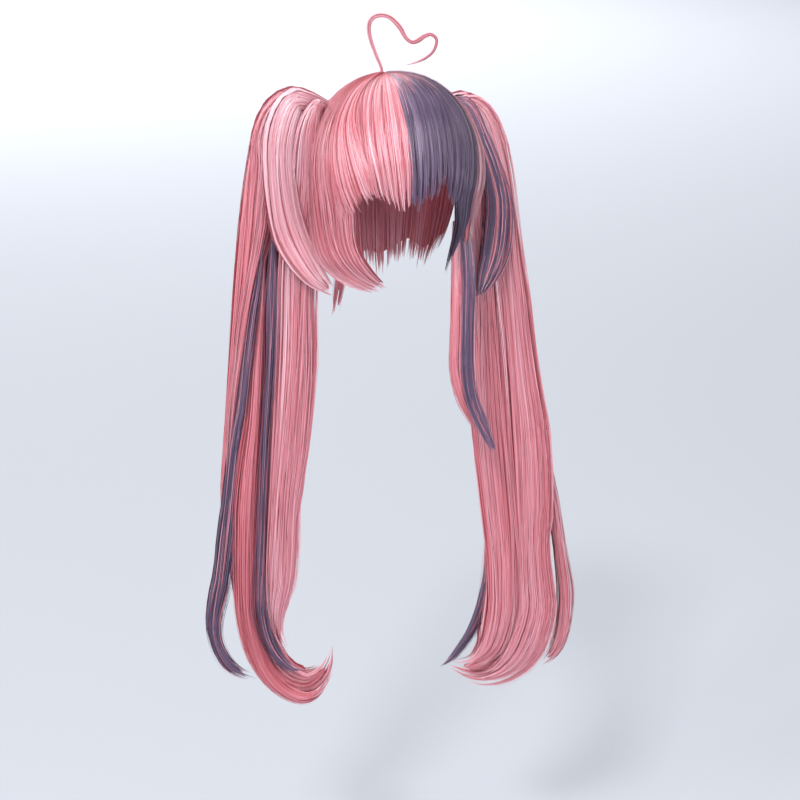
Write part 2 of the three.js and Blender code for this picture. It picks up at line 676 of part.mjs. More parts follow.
function longLock(rows) {
  const cells = table(LONG_COLUMNS, rows);
  return {
    points: cells.map(({ down, across, front }) => ({
      x: temple.x + across * LONG_SWAY,
      y: temple.y - front * LONG_SWAY,
      z: temple.z - down * LONG_DROP,
    })),
    widths: column(cells, "width").map((share) => share * LONG_WIDTH),
    depths: column(cells, "depth").map((share) => share * LONG_DEPTH),
    ridges: 2,
    stations: 12,
  };
}

const longLocks = {
  long_lock_purple: longLock([
    [0, 0, 0, 0.6, 0.7],
    [0.12, 0.03, 0.16, 0.85, 1],
    [0.25, 0.05, 0.32, 0.88, 1],
    [0.45, 0.04, 0.36, 0.92, 1],
    [0.6, 0.045, 0.36, 1, 1],
    [0.72, 0.13, 0.36, 1, 0.9],
    [0.83, 0.33, 0.36, 0.85, 0.7],
    [0.92, 0.52, 0.36, 0.5, 0.4],
    [0.97, 0.62, 0.36, 0.15, 0.12],
  ]),
  long_lock_pink: longLock([
    [0.06, -0.1, 0.04, 0.6, 0.7],
    [0.16, -0.13, 0.18, 0.85, 0.9],
    [0.3, -0.15, 0.3, 0.9, 0.9],
    [0.45, -0.17, 0.34, 0.95, 0.9],
    [0.6, -0.17, 0.34, 1, 0.9],
    [0.7, -0.07, 0.3, 0.95, 0.8],
    [0.8, 0.14, 0.22, 0.85, 0.6],
    [0.88, 0.38, 0.16, 0.6, 0.4],
    [0.93, 0.6, 0.12, 0.15, 0.12],
  ]),
};

// The tuft that flicks out below the back hair, at the left of the nape
const napeEdge = headPoint(230, 2.05, -HAIR_LAYER);
const napeTuft = {
  points: table("x y z", [
    [napeEdge.x, napeEdge.y, napeEdge.z],
    [napeEdge.x - 0.06 * TUFT.drop, napeEdge.y, napeEdge.z - 0.3 * TUFT.drop],
    [napeEdge.x - 0.15 * TUFT.drop, napeEdge.y, napeEdge.z - 0.65 * TUFT.drop],
    [napeEdge.x - 0.3 * TUFT.drop, napeEdge.y, napeEdge.z - TUFT.drop],
  ]),
  widths: [0.8, 1, 0.7, 0.15].map((share) => share * TUFT.width),
  depths: [1, 1, 0.6, 0.15].map((share) => share * TUFT.depth),
  ridges: 1,
  stations: 6,
};

// Assembly: each piece gives way to the pieces placed before it, and keeps the fit gap to them
const OVERLAP = 0.01;
const MERGE = 0.03; // slivers smaller than this are closed after a cut
const wig = new THREE.Group();
const placed = [];

function place(name, build, surface) {
  let solid = build(0);
  for (const earlier of placed)
    if (solid.intersect(earlier.solid).volume() > OVERLAP) {
      const bodies = solid.subtract(earlier.grown()).simplify(MERGE).decompose();
      solid = bodies.sort((p, q) => q.volume() - p.volume())[0];
    }
  placed.push({ solid, grown: () => build(FIT_GAP) });
  const mesh = new THREE.Mesh(geometryOf(solid), surface);
  mesh.name = name;
  wig.add(mesh);
}

const placePanel = (name, panel, surface) =>
  place(name, (grow) => panelSolid(panel, grow), surface);
const placeLock = (name, lock, surface) => place(name, (grow) => lockSolid(lock, grow), surface);

place("cap", capSolid, capNet);
placePanel("fringe_pink", fringePink, pinkHair);
placePanel("fringe_purple", fringePurple, purpleHair);
placePanel("side_lock_purple", sideLockPurple, purpleHair);
placePanel("curtain_pink", curtainPink, pinkHair);
placePanel("side_edge_pink", sideEdgePink, pinkHair);
for (const panel of backPanels) placePanel(panel.name, panel, pinkHair);
for (const [name, lock] of Object.entries(longLocks))
  placeLock(name, lock, name.endsWith("purple") ? purpleHair : pinkHair);
placeLock("nape_tuft", napeTuft, pinkHair);
placeLock("heart_strand", heart, pinkHair);
place("clip_left", (grow) => clipSolid(-1, grow), clipTape);
place("clip_right", (grow) => clipSolid(1, grow), clipTape);

const PURPLE_LOCKS = ["tail_left_streak_outer", "tail_left_streak_inner"];
PURPLE_LOCKS.push("tail_right_overlay", "tail_right_streak_back");
for (const [side, tail] of Object.entries({ tail_left: leftTail, tail_right: rightTail }))
  for (const [part, lock] of Object.entries(tail)) {
    const name = `${side}_${part}`;
    placeLock(name, lock, PURPLE_LOCKS.includes(name) ? purpleHair : pinkHair);
  }

export default wig;
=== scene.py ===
import math

import bpy
import numpy as np
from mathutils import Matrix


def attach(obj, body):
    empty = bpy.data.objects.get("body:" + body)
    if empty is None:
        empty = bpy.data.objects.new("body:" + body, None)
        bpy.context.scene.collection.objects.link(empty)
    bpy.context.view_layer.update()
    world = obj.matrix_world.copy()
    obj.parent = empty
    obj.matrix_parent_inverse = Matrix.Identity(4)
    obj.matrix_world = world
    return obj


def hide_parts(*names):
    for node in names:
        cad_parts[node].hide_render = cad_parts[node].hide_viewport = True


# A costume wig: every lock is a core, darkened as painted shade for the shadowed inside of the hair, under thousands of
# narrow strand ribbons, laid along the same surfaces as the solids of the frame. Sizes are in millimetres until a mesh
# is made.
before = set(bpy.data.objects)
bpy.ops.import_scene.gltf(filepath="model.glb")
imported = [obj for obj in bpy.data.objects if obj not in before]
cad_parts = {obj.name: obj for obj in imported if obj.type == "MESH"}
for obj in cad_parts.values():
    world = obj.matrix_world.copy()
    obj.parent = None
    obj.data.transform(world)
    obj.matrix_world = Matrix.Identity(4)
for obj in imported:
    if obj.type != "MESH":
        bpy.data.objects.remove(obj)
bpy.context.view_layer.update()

MM = 0.001
HEAD_HALF_WIDTH = 77
HEAD_HALF_DEPTH = 94
HEAD_CROWN = 95
CAP_WALL = 5.2
HAIR_LOFT = 13
HAIR_LAYER = 6.7
SKIRT = 100
WHORL = (-10, 12)
TAIL_DROP = 750
TAIL_SPREAD = 170
TAIL_WIDTH = 90
TAIL_DEPTH = 58
SEAT_BACK = 0.48
SEAT_DOWN = 0.25
HEART_WIDTH, HEART_HEIGHT, HEART_RIBBON, HEART_THICKNESS = 70, 57, 6, 2.4
LONG_DROP, LONG_SWAY, LONG_WIDTH, LONG_DEPTH = 290, 60, 14, 9
TUFT_DROP, TUFT_WIDTH, TUFT_DEPTH = 58, 15, 8
WHORL_DIP = 3.2
BAKE_MAP = "OFBake"
PINK, PURPLE = 0, 1

rng = np.random.default_rng(39)


# Curves and surfaces
def table(columns, rows):
    """The named columns of a short table."""
    return dict(zip(columns.split(), np.array(rows, float).T))


def along(values, share):
    """A value at a share of the way through a list, on a smooth curve through its entries."""
    values = np.asarray(values, float)
    last = len(values) - 1
    place = np.clip(share, 0, 1) * last
    i = np.minimum(place.astype(int) if isinstance(place, np.ndarray) else int(place), last - 1)
    t = place - i
    a, b = values[i], values[i + 1]
    slope_a = np.where(i > 0, (b - values[np.maximum(i - 1, 0)]) / 2, b - a)
    slope_b = np.where(i + 2 <= last, (values[np.minimum(i + 2, last)] - a) / 2, b - a)
    t2, t3 = t * t, t * t * t
    return (
        (2 * t3 - 3 * t2 + 1) * a
        + (t3 - 2 * t2 + t) * slope_a
        + (3 * t2 - 2 * t3) * b
        + (t3 - t2) * slope_b
    )


def mix(a, b, share):
    return a + (b - a) * share


def unit(v):
    return v / (np.linalg.norm(v, axis=-1, keepdims=True) + 1e-9)


def head_point(turn, reach, lift):
    """The head form grown by a lift: turn in degrees round the whorl, reach 0 at the whorl and 1 at the widest level."""
    turn, reach, lift = np.broadcast_arrays(np.radians(turn), reach, lift)
    a, b, c = HEAD_HALF_WIDTH + lift, HEAD_HALF_DEPTH + lift, HEAD_CROWN + lift
    polar = np.minimum(reach, 1) * math.pi / 2
    way = np.stack([np.sin(polar) * np.sin(turn), -np.sin(polar) * np.cos(turn), np.cos(polar)], -1)
    square = (way[..., 0] / a) ** 2 + (way[..., 1] / b) ** 2 + (way[..., 2] / c) ** 2
    cross = WHORL[0] * way[..., 0] / a**2 + WHORL[1] * way[..., 1] / b**2
    rest = (WHORL[0] / a) ** 2 + (WHORL[1] / b) ** 2 - 1
    distance = (-cross + np.sqrt(cross * cross - square * rest)) / square
    point = way * distance[..., None]
    point[..., 0] += WHORL[0]
    point[..., 1] += WHORL[1]
    point[..., 2] -= HEAD_CROWN + np.maximum(reach - 1, 0) * SKIRT
    return point


class Panel:
    """A panel of laid hair, from the whorl to its hem."""

    COLUMNS = "share turnA turnB liftA liftB thick"

    def __init__(self, hem, rows):
        self.hem = hem
        self.rows = table(self.COLUMNS, rows)

    def point(self, u, t, up=0.0):
        turn = mix(along(self.rows["turnA"], t), along(self.rows["turnB"], t), u)
        lift = HAIR_LOFT * mix(along(self.rows["liftA"], t), along(self.rows["liftB"], t), u)
        reach = along(self.rows["share"], t) * along(self.hem, u)
        return head_point(turn, reach, lift + up - WHORL_DIP * np.exp(-((reach / 0.35) ** 2)))

    def normal(self, u, t):
        step = 0.004
        across = self.point(u + step, t) - self.point(u - step, t)
        down = self.point(u, t + step) - self.point(u, t - step)
        return unit(np.cross(down, across))

    def layer(self, t):
        return HAIR_LAYER * along(self.rows["thick"], t)


class Lock:
    """A lock of hair swept through its rows, width across the wig and depth from front to back."""

    def __init__(self, points, widths, depths):
        self.points = np.array(points, float).T
        self.widths = np.array(widths, float)
        self.depths = np.array(depths, float)

    def centre(self, t):
        return np.stack([along(axis, t) for axis in self.points], -1)

    def frame(self, t):
        step = 0.01
        tangent = unit(self.centre(np.minimum(t + step, 1)) - self.centre(np.maximum(t - step, 0)))
        side = unit(np.cross(tangent, np.array([0.0, -1.0, 0.0])))
        return self.centre(t), side, unit(np.cross(side, tangent))

    def point(self, x, y, t):
        """x and y run from -1 to 1 across the lock's width and its depth."""
        centre, side, out = self.frame(t)
        half = along(self.widths, t)[..., None] / 2
        deep = along(self.depths, t)[..., None] / 2
        return centre + side * half * x[..., None] + out * deep * y[..., None]

    def normal(self, x, y, t):
        _, side, out = self.frame(t)
        half = along(self.widths, t)[..., None]
        deep = along(self.depths, t)[..., None]
        return unit(side * x[..., None] / half + out * y[..., None] / deep)


def tail_seat(sign):
    """Where a tail is clipped to the laid hair."""
    y = SEAT_BACK * HEAD_HALF_DEPTH
    z = -SEAT_DOWN * HEAD_CROWN
    depth = y / (HEAD_HALF_DEPTH + HAIR_LOFT)
    rise = (z + HEAD_CROWN) / (HEAD_CROWN + HAIR_LOFT)
    return sign * (HEAD_HALF_WIDTH + HAIR_LOFT) * math.sqrt(1 - depth**2 - rise**2), y, z


def tail_lock(sign, rows):
    """A lock of a tail: shares of the tail's drop, spread and depth from its seat on the head, then width and depth."""
    x, y, z = tail_seat(sign)
    if rows[0][0] < 0.05:
        _, across, back, width, depth_share = rows[0]
        down = rows[1][0]
        rise = 0.028 if down < 0.01 else 0.0
        root = [down + rise, -0.05, 0.6 * back, 0.9 * width, 0.9 * depth_share]
        rows = [root, [down + 0.35 * rise, 0.6 * across, 0.8 * back, 1.1 * width, depth_share], *rows[1:]]
    cells = table("down across back width depth", rows)
    points = np.stack(
        [
            x + sign * cells["across"] * TAIL_SPREAD,
            y + cells["back"] * TAIL_DEPTH,
            z - cells["down"] * TAIL_DROP,
        ],
        -1,
    )
    return Lock(points, cells["width"] * TAIL_WIDTH, cells["depth"] * TAIL_DEPTH)


def long_lock(rows):
    """A lock at the right temple: shares of its drop and sway, then width and depth."""
    cells = table("down across front width depth", rows)
    temple = head_point(59, 1.3, -HAIR_LAYER - 2)
    points = np.stack(
        [
            temple[0] + cells["across"] * LONG_SWAY,
            temple[1] - cells["front"] * LONG_SWAY,
            temple[2] - cells["down"] * LONG_DROP,
        ],
        -1,
    )
    return Lock(points, cells["width"] * LONG_WIDTH, cells["depth"] * LONG_DEPTH)


# The pieces' tables, as in the solids' own source, with the whorl drawn in
FRINGE_PINK = Panel(
    [1.03, 1.05, 1.08, 1.11, 1.15, 1.17, 1.1],
    [
        [0.015, -52, -2, 1, 1, 0.6],
        [0.25, -47, -1.2, 1, 1, 1],
        [0.5, -38, -0.7, 1, 1, 1],
        [0.75, -28, -0.4, 1, 1, 1],
        [1, -19, -0.3, 1.04, 1.02, 0.45],
    ],
)
FRINGE_PURPLE = Panel(
    [1.11, 1.18, 1.07, 1.08, 1.06, 1.0, 1.1, 1.18, 1.2],
    [
        [0.015, 2, 50, 1, 1, 0.6],
        [0.25, 1.2, 46, 1, 1, 1],
        [0.5, 0.7, 39, 1, 1, 1],
        [0.75, 0.5, 32, 1.02, 1, 1],
        [1, 0.4, 27.5, 1.04, 0.86, 0.45],
    ],
)
CURTAIN_PINK = Panel(
    [2.17, 2.14, 2.11, 2.09],
    [
        [0.008, -97.5, -56, 1.1, 1, 0.6],
        [0.12, -97.5, -52, 1.3, 1, 1],
        [0.21, -97, -48.5, 1.4, 1, 1],
        [0.3, -96, -44, 1.4, 1, 1],
        [0.38, -94, -39.5, 1.38, 1.0, 1],
        [0.46, -91, -36, 1.4, 0.98, 1],
        [0.53, -88.5, -33.5, 1.45, 0.88, 1],
        [0.61, -87, -32.5, 1.45, 0.68, 1],
        [0.69, -86, -33, 1.4, 0.4, 1],
        [0.77, -84, -31.5, 1.3, 0.16, 0.95],
        [0.85, -78, -26.5, 1.05, -0.2, 0.85],
        [0.92, -66, -19.5, 0.35, -0.85, 0.7],
        [0.97, -40, -13, -0.6, -1.4, 0.5],
        [1, -16, -9, -1.8, -1.7, 0.25],
    ],
)
SIDE_LOCK_PURPLE = Panel(
    [1.97, 1.97],
    [
        [0.008, 50.5, 74, 1, 1, 0.6],
        [0.14, 46.6, 70, 1, 1, 1],
        [0.24, 41, 64, 1, 1, 1],
        [0.34, 36, 56, 1, 1.02, 1],
        [0.44, 31, 47, 1, 1.05, 1],
        [0.54, 28, 41.5, 0.84, 0.96, 1],
        [0.63, 29.8, 43, 0.56, 0.6, 1],
        [0.72, 33, 45, 0.17, 0.25, 0.9],
        [0.81, 34.3, 42, -0.28, -0.25, 0.8],
        [0.9, 32.4, 36.5, -0.6, -0.6, 0.6],
        [1, 28.8, 31, -0.85, -0.85, 0.25],
    ],
)
SIDE_EDGE_PINK = Panel(
    [2, 2],
    [
        [0.008, 74.6, 111.5, 1, 1, 0.6],
        [0.14, 70.8, 111.5, 1, 1, 1],
        [0.24, 64.8, 111, 1, 1.08, 1],
        [0.34, 56.8, 110, 1.02, 1.2, 1],
        [0.44, 47.8, 107, 1.05, 1.32, 1],
        [0.54, 42.3, 105, 0.96, 1.36, 1],
        [0.63, 43.8, 102, 0.6, 1.22, 1],
        [0.72, 46, 98, 0.3, 1, 0.95],
        [0.82, 50, 92, 0.05, 0.6, 0.85],
        [0.91, 56, 84, -0.15, 0.15, 0.6],
        [1, 63, 72, -0.35, -0.3, 0.25],
    ],
)


def back_panel(hem, turn_a, turn_b, swell):
    return Panel(
        hem,
        [
            [0.008, turn_a, turn_b, 1, 1 + 0.25 * swell, 0.6],
            [0.12, turn_a, turn_b, 1, 1 + swell, 1],
            [0.29, turn_a, turn_b, 1.08, 1.08 + swell, 1],
            [0.43, turn_a, turn_b, 1.25, 1.25 + 0.3 * swell, 1],
            [0.57, turn_a, turn_b, 1.2, 1.2, 1],
            [0.71, turn_a, turn_b, 0.85, 0.85, 1],
            [0.86, turn_a, turn_b, 0.1, 0.1, 0.85],
            [1, turn_a, turn_b, -1, -1, 0.3],
        ],
    )


BACK_RIGHT = back_panel([2.02, 2.16, 2.3, 2.2, 2.3], 112.5, 160, 0)
BACK_MIDDLE = back_panel([2.3, 2.4, 2.34, 2.46, 2.3], 160.6, 208, 0)
BACK_LEFT = back_panel([2.3, 2.2, 2.3, 2.16, 2.02], 208.6, 261.5, 0.3)

LEFT = {
    "overlay": [
        [0.013, 0.15, -0.16, 0.12, 0.2],
        [-0.006, 0.22, -0.36, 0.22, 0.22],
        [-0.006, 0.31, -0.5, 0.3, 0.22],
        [0.027, 0.38, -0.56, 0.36, 0.24],
        [0.072, 0.405, -0.575, 0.36, 0.27],
        [0.13, 0.388, -0.575, 0.4, 0.27],
        [0.177, 0.347, -0.6, 0.42, 0.25],
        [0.212, 0.282, -0.69, 0.36, 0.18],
        [0.239, 0.206, -0.75, 0.27, 0.15],
        [0.255, 0.135, -0.8, 0.16, 0.1],
        [0.27, 0.06, -0.84, 0.04, 0.04],
    ],
    "streak_outer": [
        [0.155, 0.494, -0.3, 0.05, 0.26],
        [0.25, 0.55, -0.27, 0.1, 0.42],
        [0.3, 0.594, -0.26, 0.11, 0.44],
        [0.364, 0.64, -0.25, 0.11, 0.44],
        [0.44, 0.685, -0.25, 0.12, 0.44],
        [0.493, 0.735, -0.24, 0.12, 0.44],
        [0.597, 0.794, -0.22, 0.14, 0.42],
        [0.657, 0.826, -0.2, 0.19, 0.4],
        [0.724, 0.862, -0.16, 0.19, 0.38],
        [0.768, 0.9, -0.12, 0.2, 0.36],
        [0.813, 0.93, -0.1, 0.18, 0.34],
        [0.848, 0.912, -0.1, 0.15, 0.3],
        [0.885, 0.847, -0.1, 0.14, 0.24],
        [0.909, 0.741, -0.1, 0.1, 0.16],
        [0.923, 0.61, -0.1, 0.03, 0.05],
    ],
    "streak_inner": [
        [0.168, 0.44, -0.3, 0.05, 0.26],
        [0.24, 0.453, -0.27, 0.14, 0.42],
        [0.3, 0.47, -0.26, 0.15, 0.44],
        [0.379, 0.49, -0.25, 0.12, 0.44],
        [0.457, 0.524, -0.25, 0.11, 0.44],
        [0.528, 0.544, -0.24, 0.12, 0.44],
        [0.661, 0.585, -0.24, 0.12, 0.42],
        [0.741, 0.606, -0.24, 0.13, 0.4],
        [0.79, 0.603, -0.24, 0.14, 0.36],
        [0.844, 0.559, -0.24, 0.13, 0.3],
        [0.883, 0.476, -0.24, 0.13, 0.24],
        [0.907, 0.37, -0.24, 0.1, 0.16],
        [0.912, 0.24, -0.24, 0.03, 0.05],
    ],
    "middle": [
        [0.21, 0.5, -0.24, 0.05, 0.3],
        [0.3, 0.538, -0.24, 0.08, 0.42],
        [0.364, 0.57, -0.24, 0.14, 0.42],
        [0.457, 0.606, -0.24, 0.17, 0.44],
        [0.53, 0.65, -0.24, 0.23, 0.44],
        [0.597, 0.68, -0.23, 0.27, 0.42],
        [0.66, 0.697, -0.22, 0.26, 0.4],
        [0.74, 0.71, -0.21, 0.23, 0.38],
        [0.795, 0.706, -0.2, 0.21, 0.36],
        [0.85, 0.667, -0.2, 0.2, 0.32],
        [0.897, 0.6, -0.2, 0.17, 0.26],
        [0.939, 0.482, -0.2, 0.14, 0.2],
        [0.963, 0.33, -0.2, 0.13, 0.14],
        [0.957, 0.21, -0.2, 0.09, 0.1],
        [0.93, 0.13, -0.2, 0.03, 0.04],
    ],
    "front_outer": [
        [0.013, 0.165, -0.12, 0.16, 0.22],
        [0, 0.21, -0.19, 0.26, 0.38],
        [-0.003, 0.295, -0.24, 0.33, 0.45],
        [0.016, 0.39, -0.24, 0.38, 0.47],
        [0.05, 0.447, -0.24, 0.38, 0.47],
        [0.08, 0.457, -0.24, 0.36, 0.47],
        [0.13, 0.5, -0.24, 0.3, 0.47],
        [0.18, 0.535, -0.24, 0.24, 0.46],
        [0.25, 0.6, -0.24, 0.14, 0.44],
        [0.31, 0.65, -0.24, 0.11, 0.42],
        [0.38, 0.7, -0.24, 0.09, 0.38],
        [0.46, 0.75, -0.24, 0.07, 0.34],
        [0.54, 0.79, -0.24, 0.05, 0.28],
        [0.6, 0.82, -0.24, 0.03, 0.12],
    ],
    "front_inner": [
        [0.01, 0.14, -0.45, 0.1, 0.2],
        [-0.002, 0.155, -0.5, 0.13, 0.3],
        [0.018, 0.2, -0.54, 0.24, 0.36],
        [0.048, 0.217, -0.52, 0.33, 0.42],
        [0.09, 0.224, -0.46, 0.39, 0.47],
        [0.13, 0.235, -0.4, 0.4, 0.47],
        [0.18, 0.27, -0.34, 0.44, 0.47],
        [0.24, 0.294, -0.28, 0.45, 0.47],
        [0.3, 0.306, -0.24, 0.46, 0.47],
        [0.377, 0.318, -0.24, 0.53, 0.46],
        [0.46, 0.35, -0.24, 0.52, 0.45],
        [0.528, 0.38, -0.24, 0.5, 0.44],
        [0.595, 0.418, -0.24, 0.42, 0.42],
        [0.66, 0.44, -0.24, 0.42, 0.4],
        [0.74, 0.465, -0.24, 0.38, 0.36],
        [0.795, 0.5, -0.24, 0.22, 0.28],
        [0.84, 0.482, -0.24, 0.14, 0.18],
        [0.888, 0.388, -0.24, 0.03, 0.04],
    ],
    "back": [
        [0.01, 0.12, 0.1, 0.16, 0.22],
        [0, 0.2, 0.16, 0.26, 0.4],
        [0.004, 0.28, 0.24, 0.34, 0.5],
        [0.024, 0.35, 0.26, 0.42, 0.52],
        [0.06, 0.39, 0.26, 0.54, 0.52],
        [0.1, 0.39, 0.26, 0.66, 0.52],
        [0.18, 0.41, 0.26, 0.8, 0.52],
        [0.3, 0.435, 0.26, 0.93, 0.5],
        [0.43, 0.475, 0.26, 1, 0.48],
        [0.54, 0.52, 0.26, 1.03, 0.46],
        [0.635, 0.575, 0.24, 0.95, 0.44],
        [0.715, 0.575, 0.23, 0.82, 0.42],
        [0.77, 0.575, 0.21, 0.74, 0.4],
        [0.83, 0.605, 0.19, 0.55, 0.38],
        [0.885, 0.565, 0.17, 0.46, 0.36],
        [0.93, 0.45, 0.15, 0.42, 0.34],
        [0.95, 0.3, 0.13, 0.4, 0.3],
        [0.94, 0.185, 0.12, 0.28, 0.22],
        [0.915, 0.115, 0.11, 0.15, 0.12],
        [0.88, 0.085, 0.11, 0.04, 0.04],
    ],
}

RIGHT = {
    "overlay": [
        [0.012, 0.08, -0.16, 0.14, 0.2],
        [0.006, 0.12, -0.36, 0.2, 0.22],
        [0.02, 0.17, -0.5, 0.22, 0.22],
        [0.053, 0.225, -0.56, 0.24, 0.24],
        [0.09, 0.29, -0.575, 0.27, 0.27],
        [0.141, 0.355, -0.575, 0.32, 0.27],
        [0.19, 0.359, -0.59, 0.36, 0.25],
        [0.227, 0.335, -0.64, 0.34, 0.2],
        [0.256, 0.288, -0.69, 0.26, 0.16],
        [0.279, 0.241, -0.74, 0.13, 0.1],
        [0.296, 0.2, -0.77, 0.04, 0.04],
    ],
    "streak_back": [
        [0.6, 0.44, 0.3, 0.05, 0.16],
        [0.68, 0.456, 0.3, 0.08, 0.26],
        [0.724, 0.458, 0.3, 0.1, 0.3],
        [0.768, 0.45, 0.3, 0.12, 0.32],
        [0.815, 0.426, 0.28, 0.12, 0.3],
        [0.861, 0.37, 0.24, 0.12, 0.26],
        [0.897, 0.3, 0.2, 0.11, 0.22],
        [0.924, 0.21, 0.16, 0.09, 0.16],
        [0.941, 0.14, 0.14, 0.06, 0.1],
        [0.955, 0.035, 0.12, 0.03, 0.04],
    ],
    "outer": [
        [0.54, 0.776, 0, 0.06, 0.16],
        [0.6, 0.823, 0, 0.12, 0.34],
        [0.66, 0.878, 0, 0.13, 0.4],
        [0.72, 0.92, -0.03, 0.13, 0.4],
        [0.768, 0.955, -0.05, 0.14, 0.38],
        [0.83, 0.995, -0.05, 0.17, 0.36],
        [0.895, 0.98, -0.08, 0.16, 0.3],
        [0.935, 0.924, -0.1, 0.13, 0.22],
        [0.964, 0.81, -0.1, 0.03, 0.04],
    ],
    "front_inner": [
        [0.016, 0.165, -0.26, 0.16, 0.2],
        [0.035, 0.19, -0.3, 0.26, 0.4],
        [0.08, 0.21, -0.26, 0.3, 0.47],
        [0.13, 0.22, -0.24, 0.32, 0.47],
        [0.19, 0.24, -0.24, 0.34, 0.47],
        [0.247, 0.285, -0.24, 0.45, 0.47],
        [0.3, 0.31, -0.24, 0.46, 0.47],
        [0.377, 0.332, -0.24, 0.52, 0.46],
        [0.46, 0.365, -0.24, 0.53, 0.45],
        [0.54, 0.4, -0.24, 0.51, 0.44],
        [0.66, 0.46, -0.24, 0.46, 0.42],
        [0.723, 0.488, -0.24, 0.42, 0.4],
        [0.795, 0.503, -0.24, 0.41, 0.38],
        [0.848, 0.5, -0.24, 0.42, 0.34],
        [0.904, 0.447, -0.22, 0.38, 0.28],
        [0.933, 0.335, -0.2, 0.26, 0.18],
        [0.952, 0.176, -0.18, 0.04, 0.04],
    ],
    "front_outer": [
        [0.014, 0.1, -0.12, 0.14, 0.22],
        [0.009, 0.16, -0.19, 0.22, 0.38],
        [0.014, 0.22, -0.24, 0.28, 0.45],
        [0.032, 0.275, -0.24, 0.31, 0.47],
        [0.06, 0.325, -0.24, 0.31, 0.47],
        [0.09, 0.365, -0.24, 0.29, 0.47],
        [0.13, 0.41, -0.24, 0.24, 0.47],
        [0.19, 0.45, -0.24, 0.24, 0.46],
        [0.247, 0.475, -0.24, 0.3, 0.46],
        [0.3, 0.51, -0.24, 0.34, 0.46],
        [0.377, 0.556, -0.24, 0.37, 0.46],
        [0.46, 0.61, -0.24, 0.42, 0.45],
        [0.54, 0.665, -0.24, 0.49, 0.44],
        [0.66, 0.7, -0.24, 0.5, 0.42],
        [0.723, 0.703, -0.24, 0.44, 0.4],
        [0.795, 0.735, -0.24, 0.5, 0.38],
        [0.848, 0.755, -0.24, 0.56, 0.34],
        [0.917, 0.682, -0.22, 0.62, 0.3],
        [0.957, 0.54, -0.2, 0.44, 0.24],
        [0.97, 0.365, -0.18, 0.22, 0.14],
        [0.963, 0.235, -0.18, 0.04, 0.04],
    ],
    "back": [
        [0.02, 0.08, 0.1, 0.16, 0.22],
        [0.012, 0.14, 0.16, 0.24, 0.4],
        [0.016, 0.21, 0.24, 0.3, 0.5],
        [0.035, 0.27, 0.26, 0.38, 0.52],
        [0.065, 0.305, 0.26, 0.48, 0.52],
        [0.1, 0.32, 0.26, 0.56, 0.52],
        [0.18, 0.345, 0.26, 0.66, 0.52],
        [0.3, 0.4, 0.26, 0.8, 0.5],
        [0.43, 0.475, 0.26, 0.92, 0.48],
        [0.54, 0.56, 0.26, 0.94, 0.46],
        [0.635, 0.62, 0.24, 0.86, 0.44],
        [0.715, 0.625, 0.23, 0.8, 0.42],
        [0.77, 0.64, 0.21, 0.88, 0.4],
        [0.83, 0.665, 0.2, 1, 0.38],
        [0.895, 0.61, 0.18, 0.94, 0.34],
        [0.938, 0.5, 0.15, 0.72, 0.3],
        [0.956, 0.35, 0.13, 0.42, 0.24],
        [0.952, 0.21, 0.12, 0.18, 0.14],
        [0.942, 0.1, 0.12, 0.04, 0.04],
    ],
}

LONG_PURPLE = long_lock(
    [
        [0, 0, 0, 0.6, 0.7],
        [0.12, 0.03, 0.16, 0.85, 1],
        [0.25, 0.05, 0.32, 0.88, 1],
        [0.45, 0.04, 0.36, 0.92, 1],
        [0.6, 0.045, 0.36, 1, 1],
        [0.72, 0.13, 0.36, 1, 0.9],
        [0.83, 0.33, 0.36, 0.85, 0.7],
        [0.92, 0.52, 0.36, 0.5, 0.4],
        [0.97, 0.62, 0.36, 0.15, 0.12],
    ]
)
LONG_PINK = long_lock(
    [
        [0.06, -0.1, 0.04, 0.6, 0.7],
        [0.16, -0.13, 0.18, 0.85, 0.9],
        [0.3, -0.15, 0.3, 0.9, 0.9],
        [0.45, -0.17, 0.34, 0.95, 0.9],
        [0.6, -0.17, 0.34, 1, 0.9],
        [0.7, -0.07, 0.3, 0.95, 0.8],
        [0.8, 0.14, 0.22, 0.85, 0.6],
        [0.88, 0.38, 0.16, 0.6, 0.4],
        [0.93, 0.6, 0.12, 0.15, 0.12],
    ]
)

HEART_ROWS = table(
    "x z width thick",
    [
        [-0.02, -0.18, 0.5, 1.2],
        [-0.06, 0.08, 0.55, 1],
        [-0.135, 0.3, 0.62, 1],
        [-0.21, 0.55, 0.7, 1],
        [-0.245, 0.77, 0.85, 1],
        [-0.22, 0.92, 1, 1],
        [-0.13, 1, 1, 1],
        [0, 1, 0.9, 1],
        [0.11, 0.93, 1, 1],
        [0.23, 0.77, 1.05, 1],
        [0.31, 0.6, 0.8, 1],
        [0.41, 0.51, 0.75, 1],
        [0.51, 0.54, 0.95, 1],
        [0.6, 0.61, 0.85, 1],
        [0.7, 0.64, 0.65, 1],
        [0.785, 0.55, 0.6, 1],
        [0.76, 0.39, 0.55, 1],
        [0.67, 0.26, 0.5, 0.9],
        [0.49, 0.15, 0.4, 0.8],
        [0.22, 0.08, 0.2, 0.6],
    ],
)


# Materials
def nodes_of(name):
    material = bpy.data.materials.new(name)
    material.use_nodes = True
    tree = material.node_tree
    tree.nodes.clear()
    output = tree.nodes.new("ShaderNodeOutputMaterial")
    shader = tree.nodes.new("ShaderNodeBsdfPrincipled")
    tree.links.new(shader.outputs[0], output.inputs["Surface"])
    return material, tree, shader


def attribute(tree, name):
    node = tree.nodes.new("ShaderNodeAttribute")
    node.attribute_name = name
    return node.outputs["Fac"]


def math_node(tree, operation, *values, clamp=False):
    node = tree.nodes.new("ShaderNodeMath")
    node.operation = operation
    node.use_clamp = clamp
    for socket, value in zip(node.inputs, values):
        if isinstance(value, (int, float)):
            socket.default_value = value
        else:
            tree.links.new(value, socket)
    return node.outputs[0]


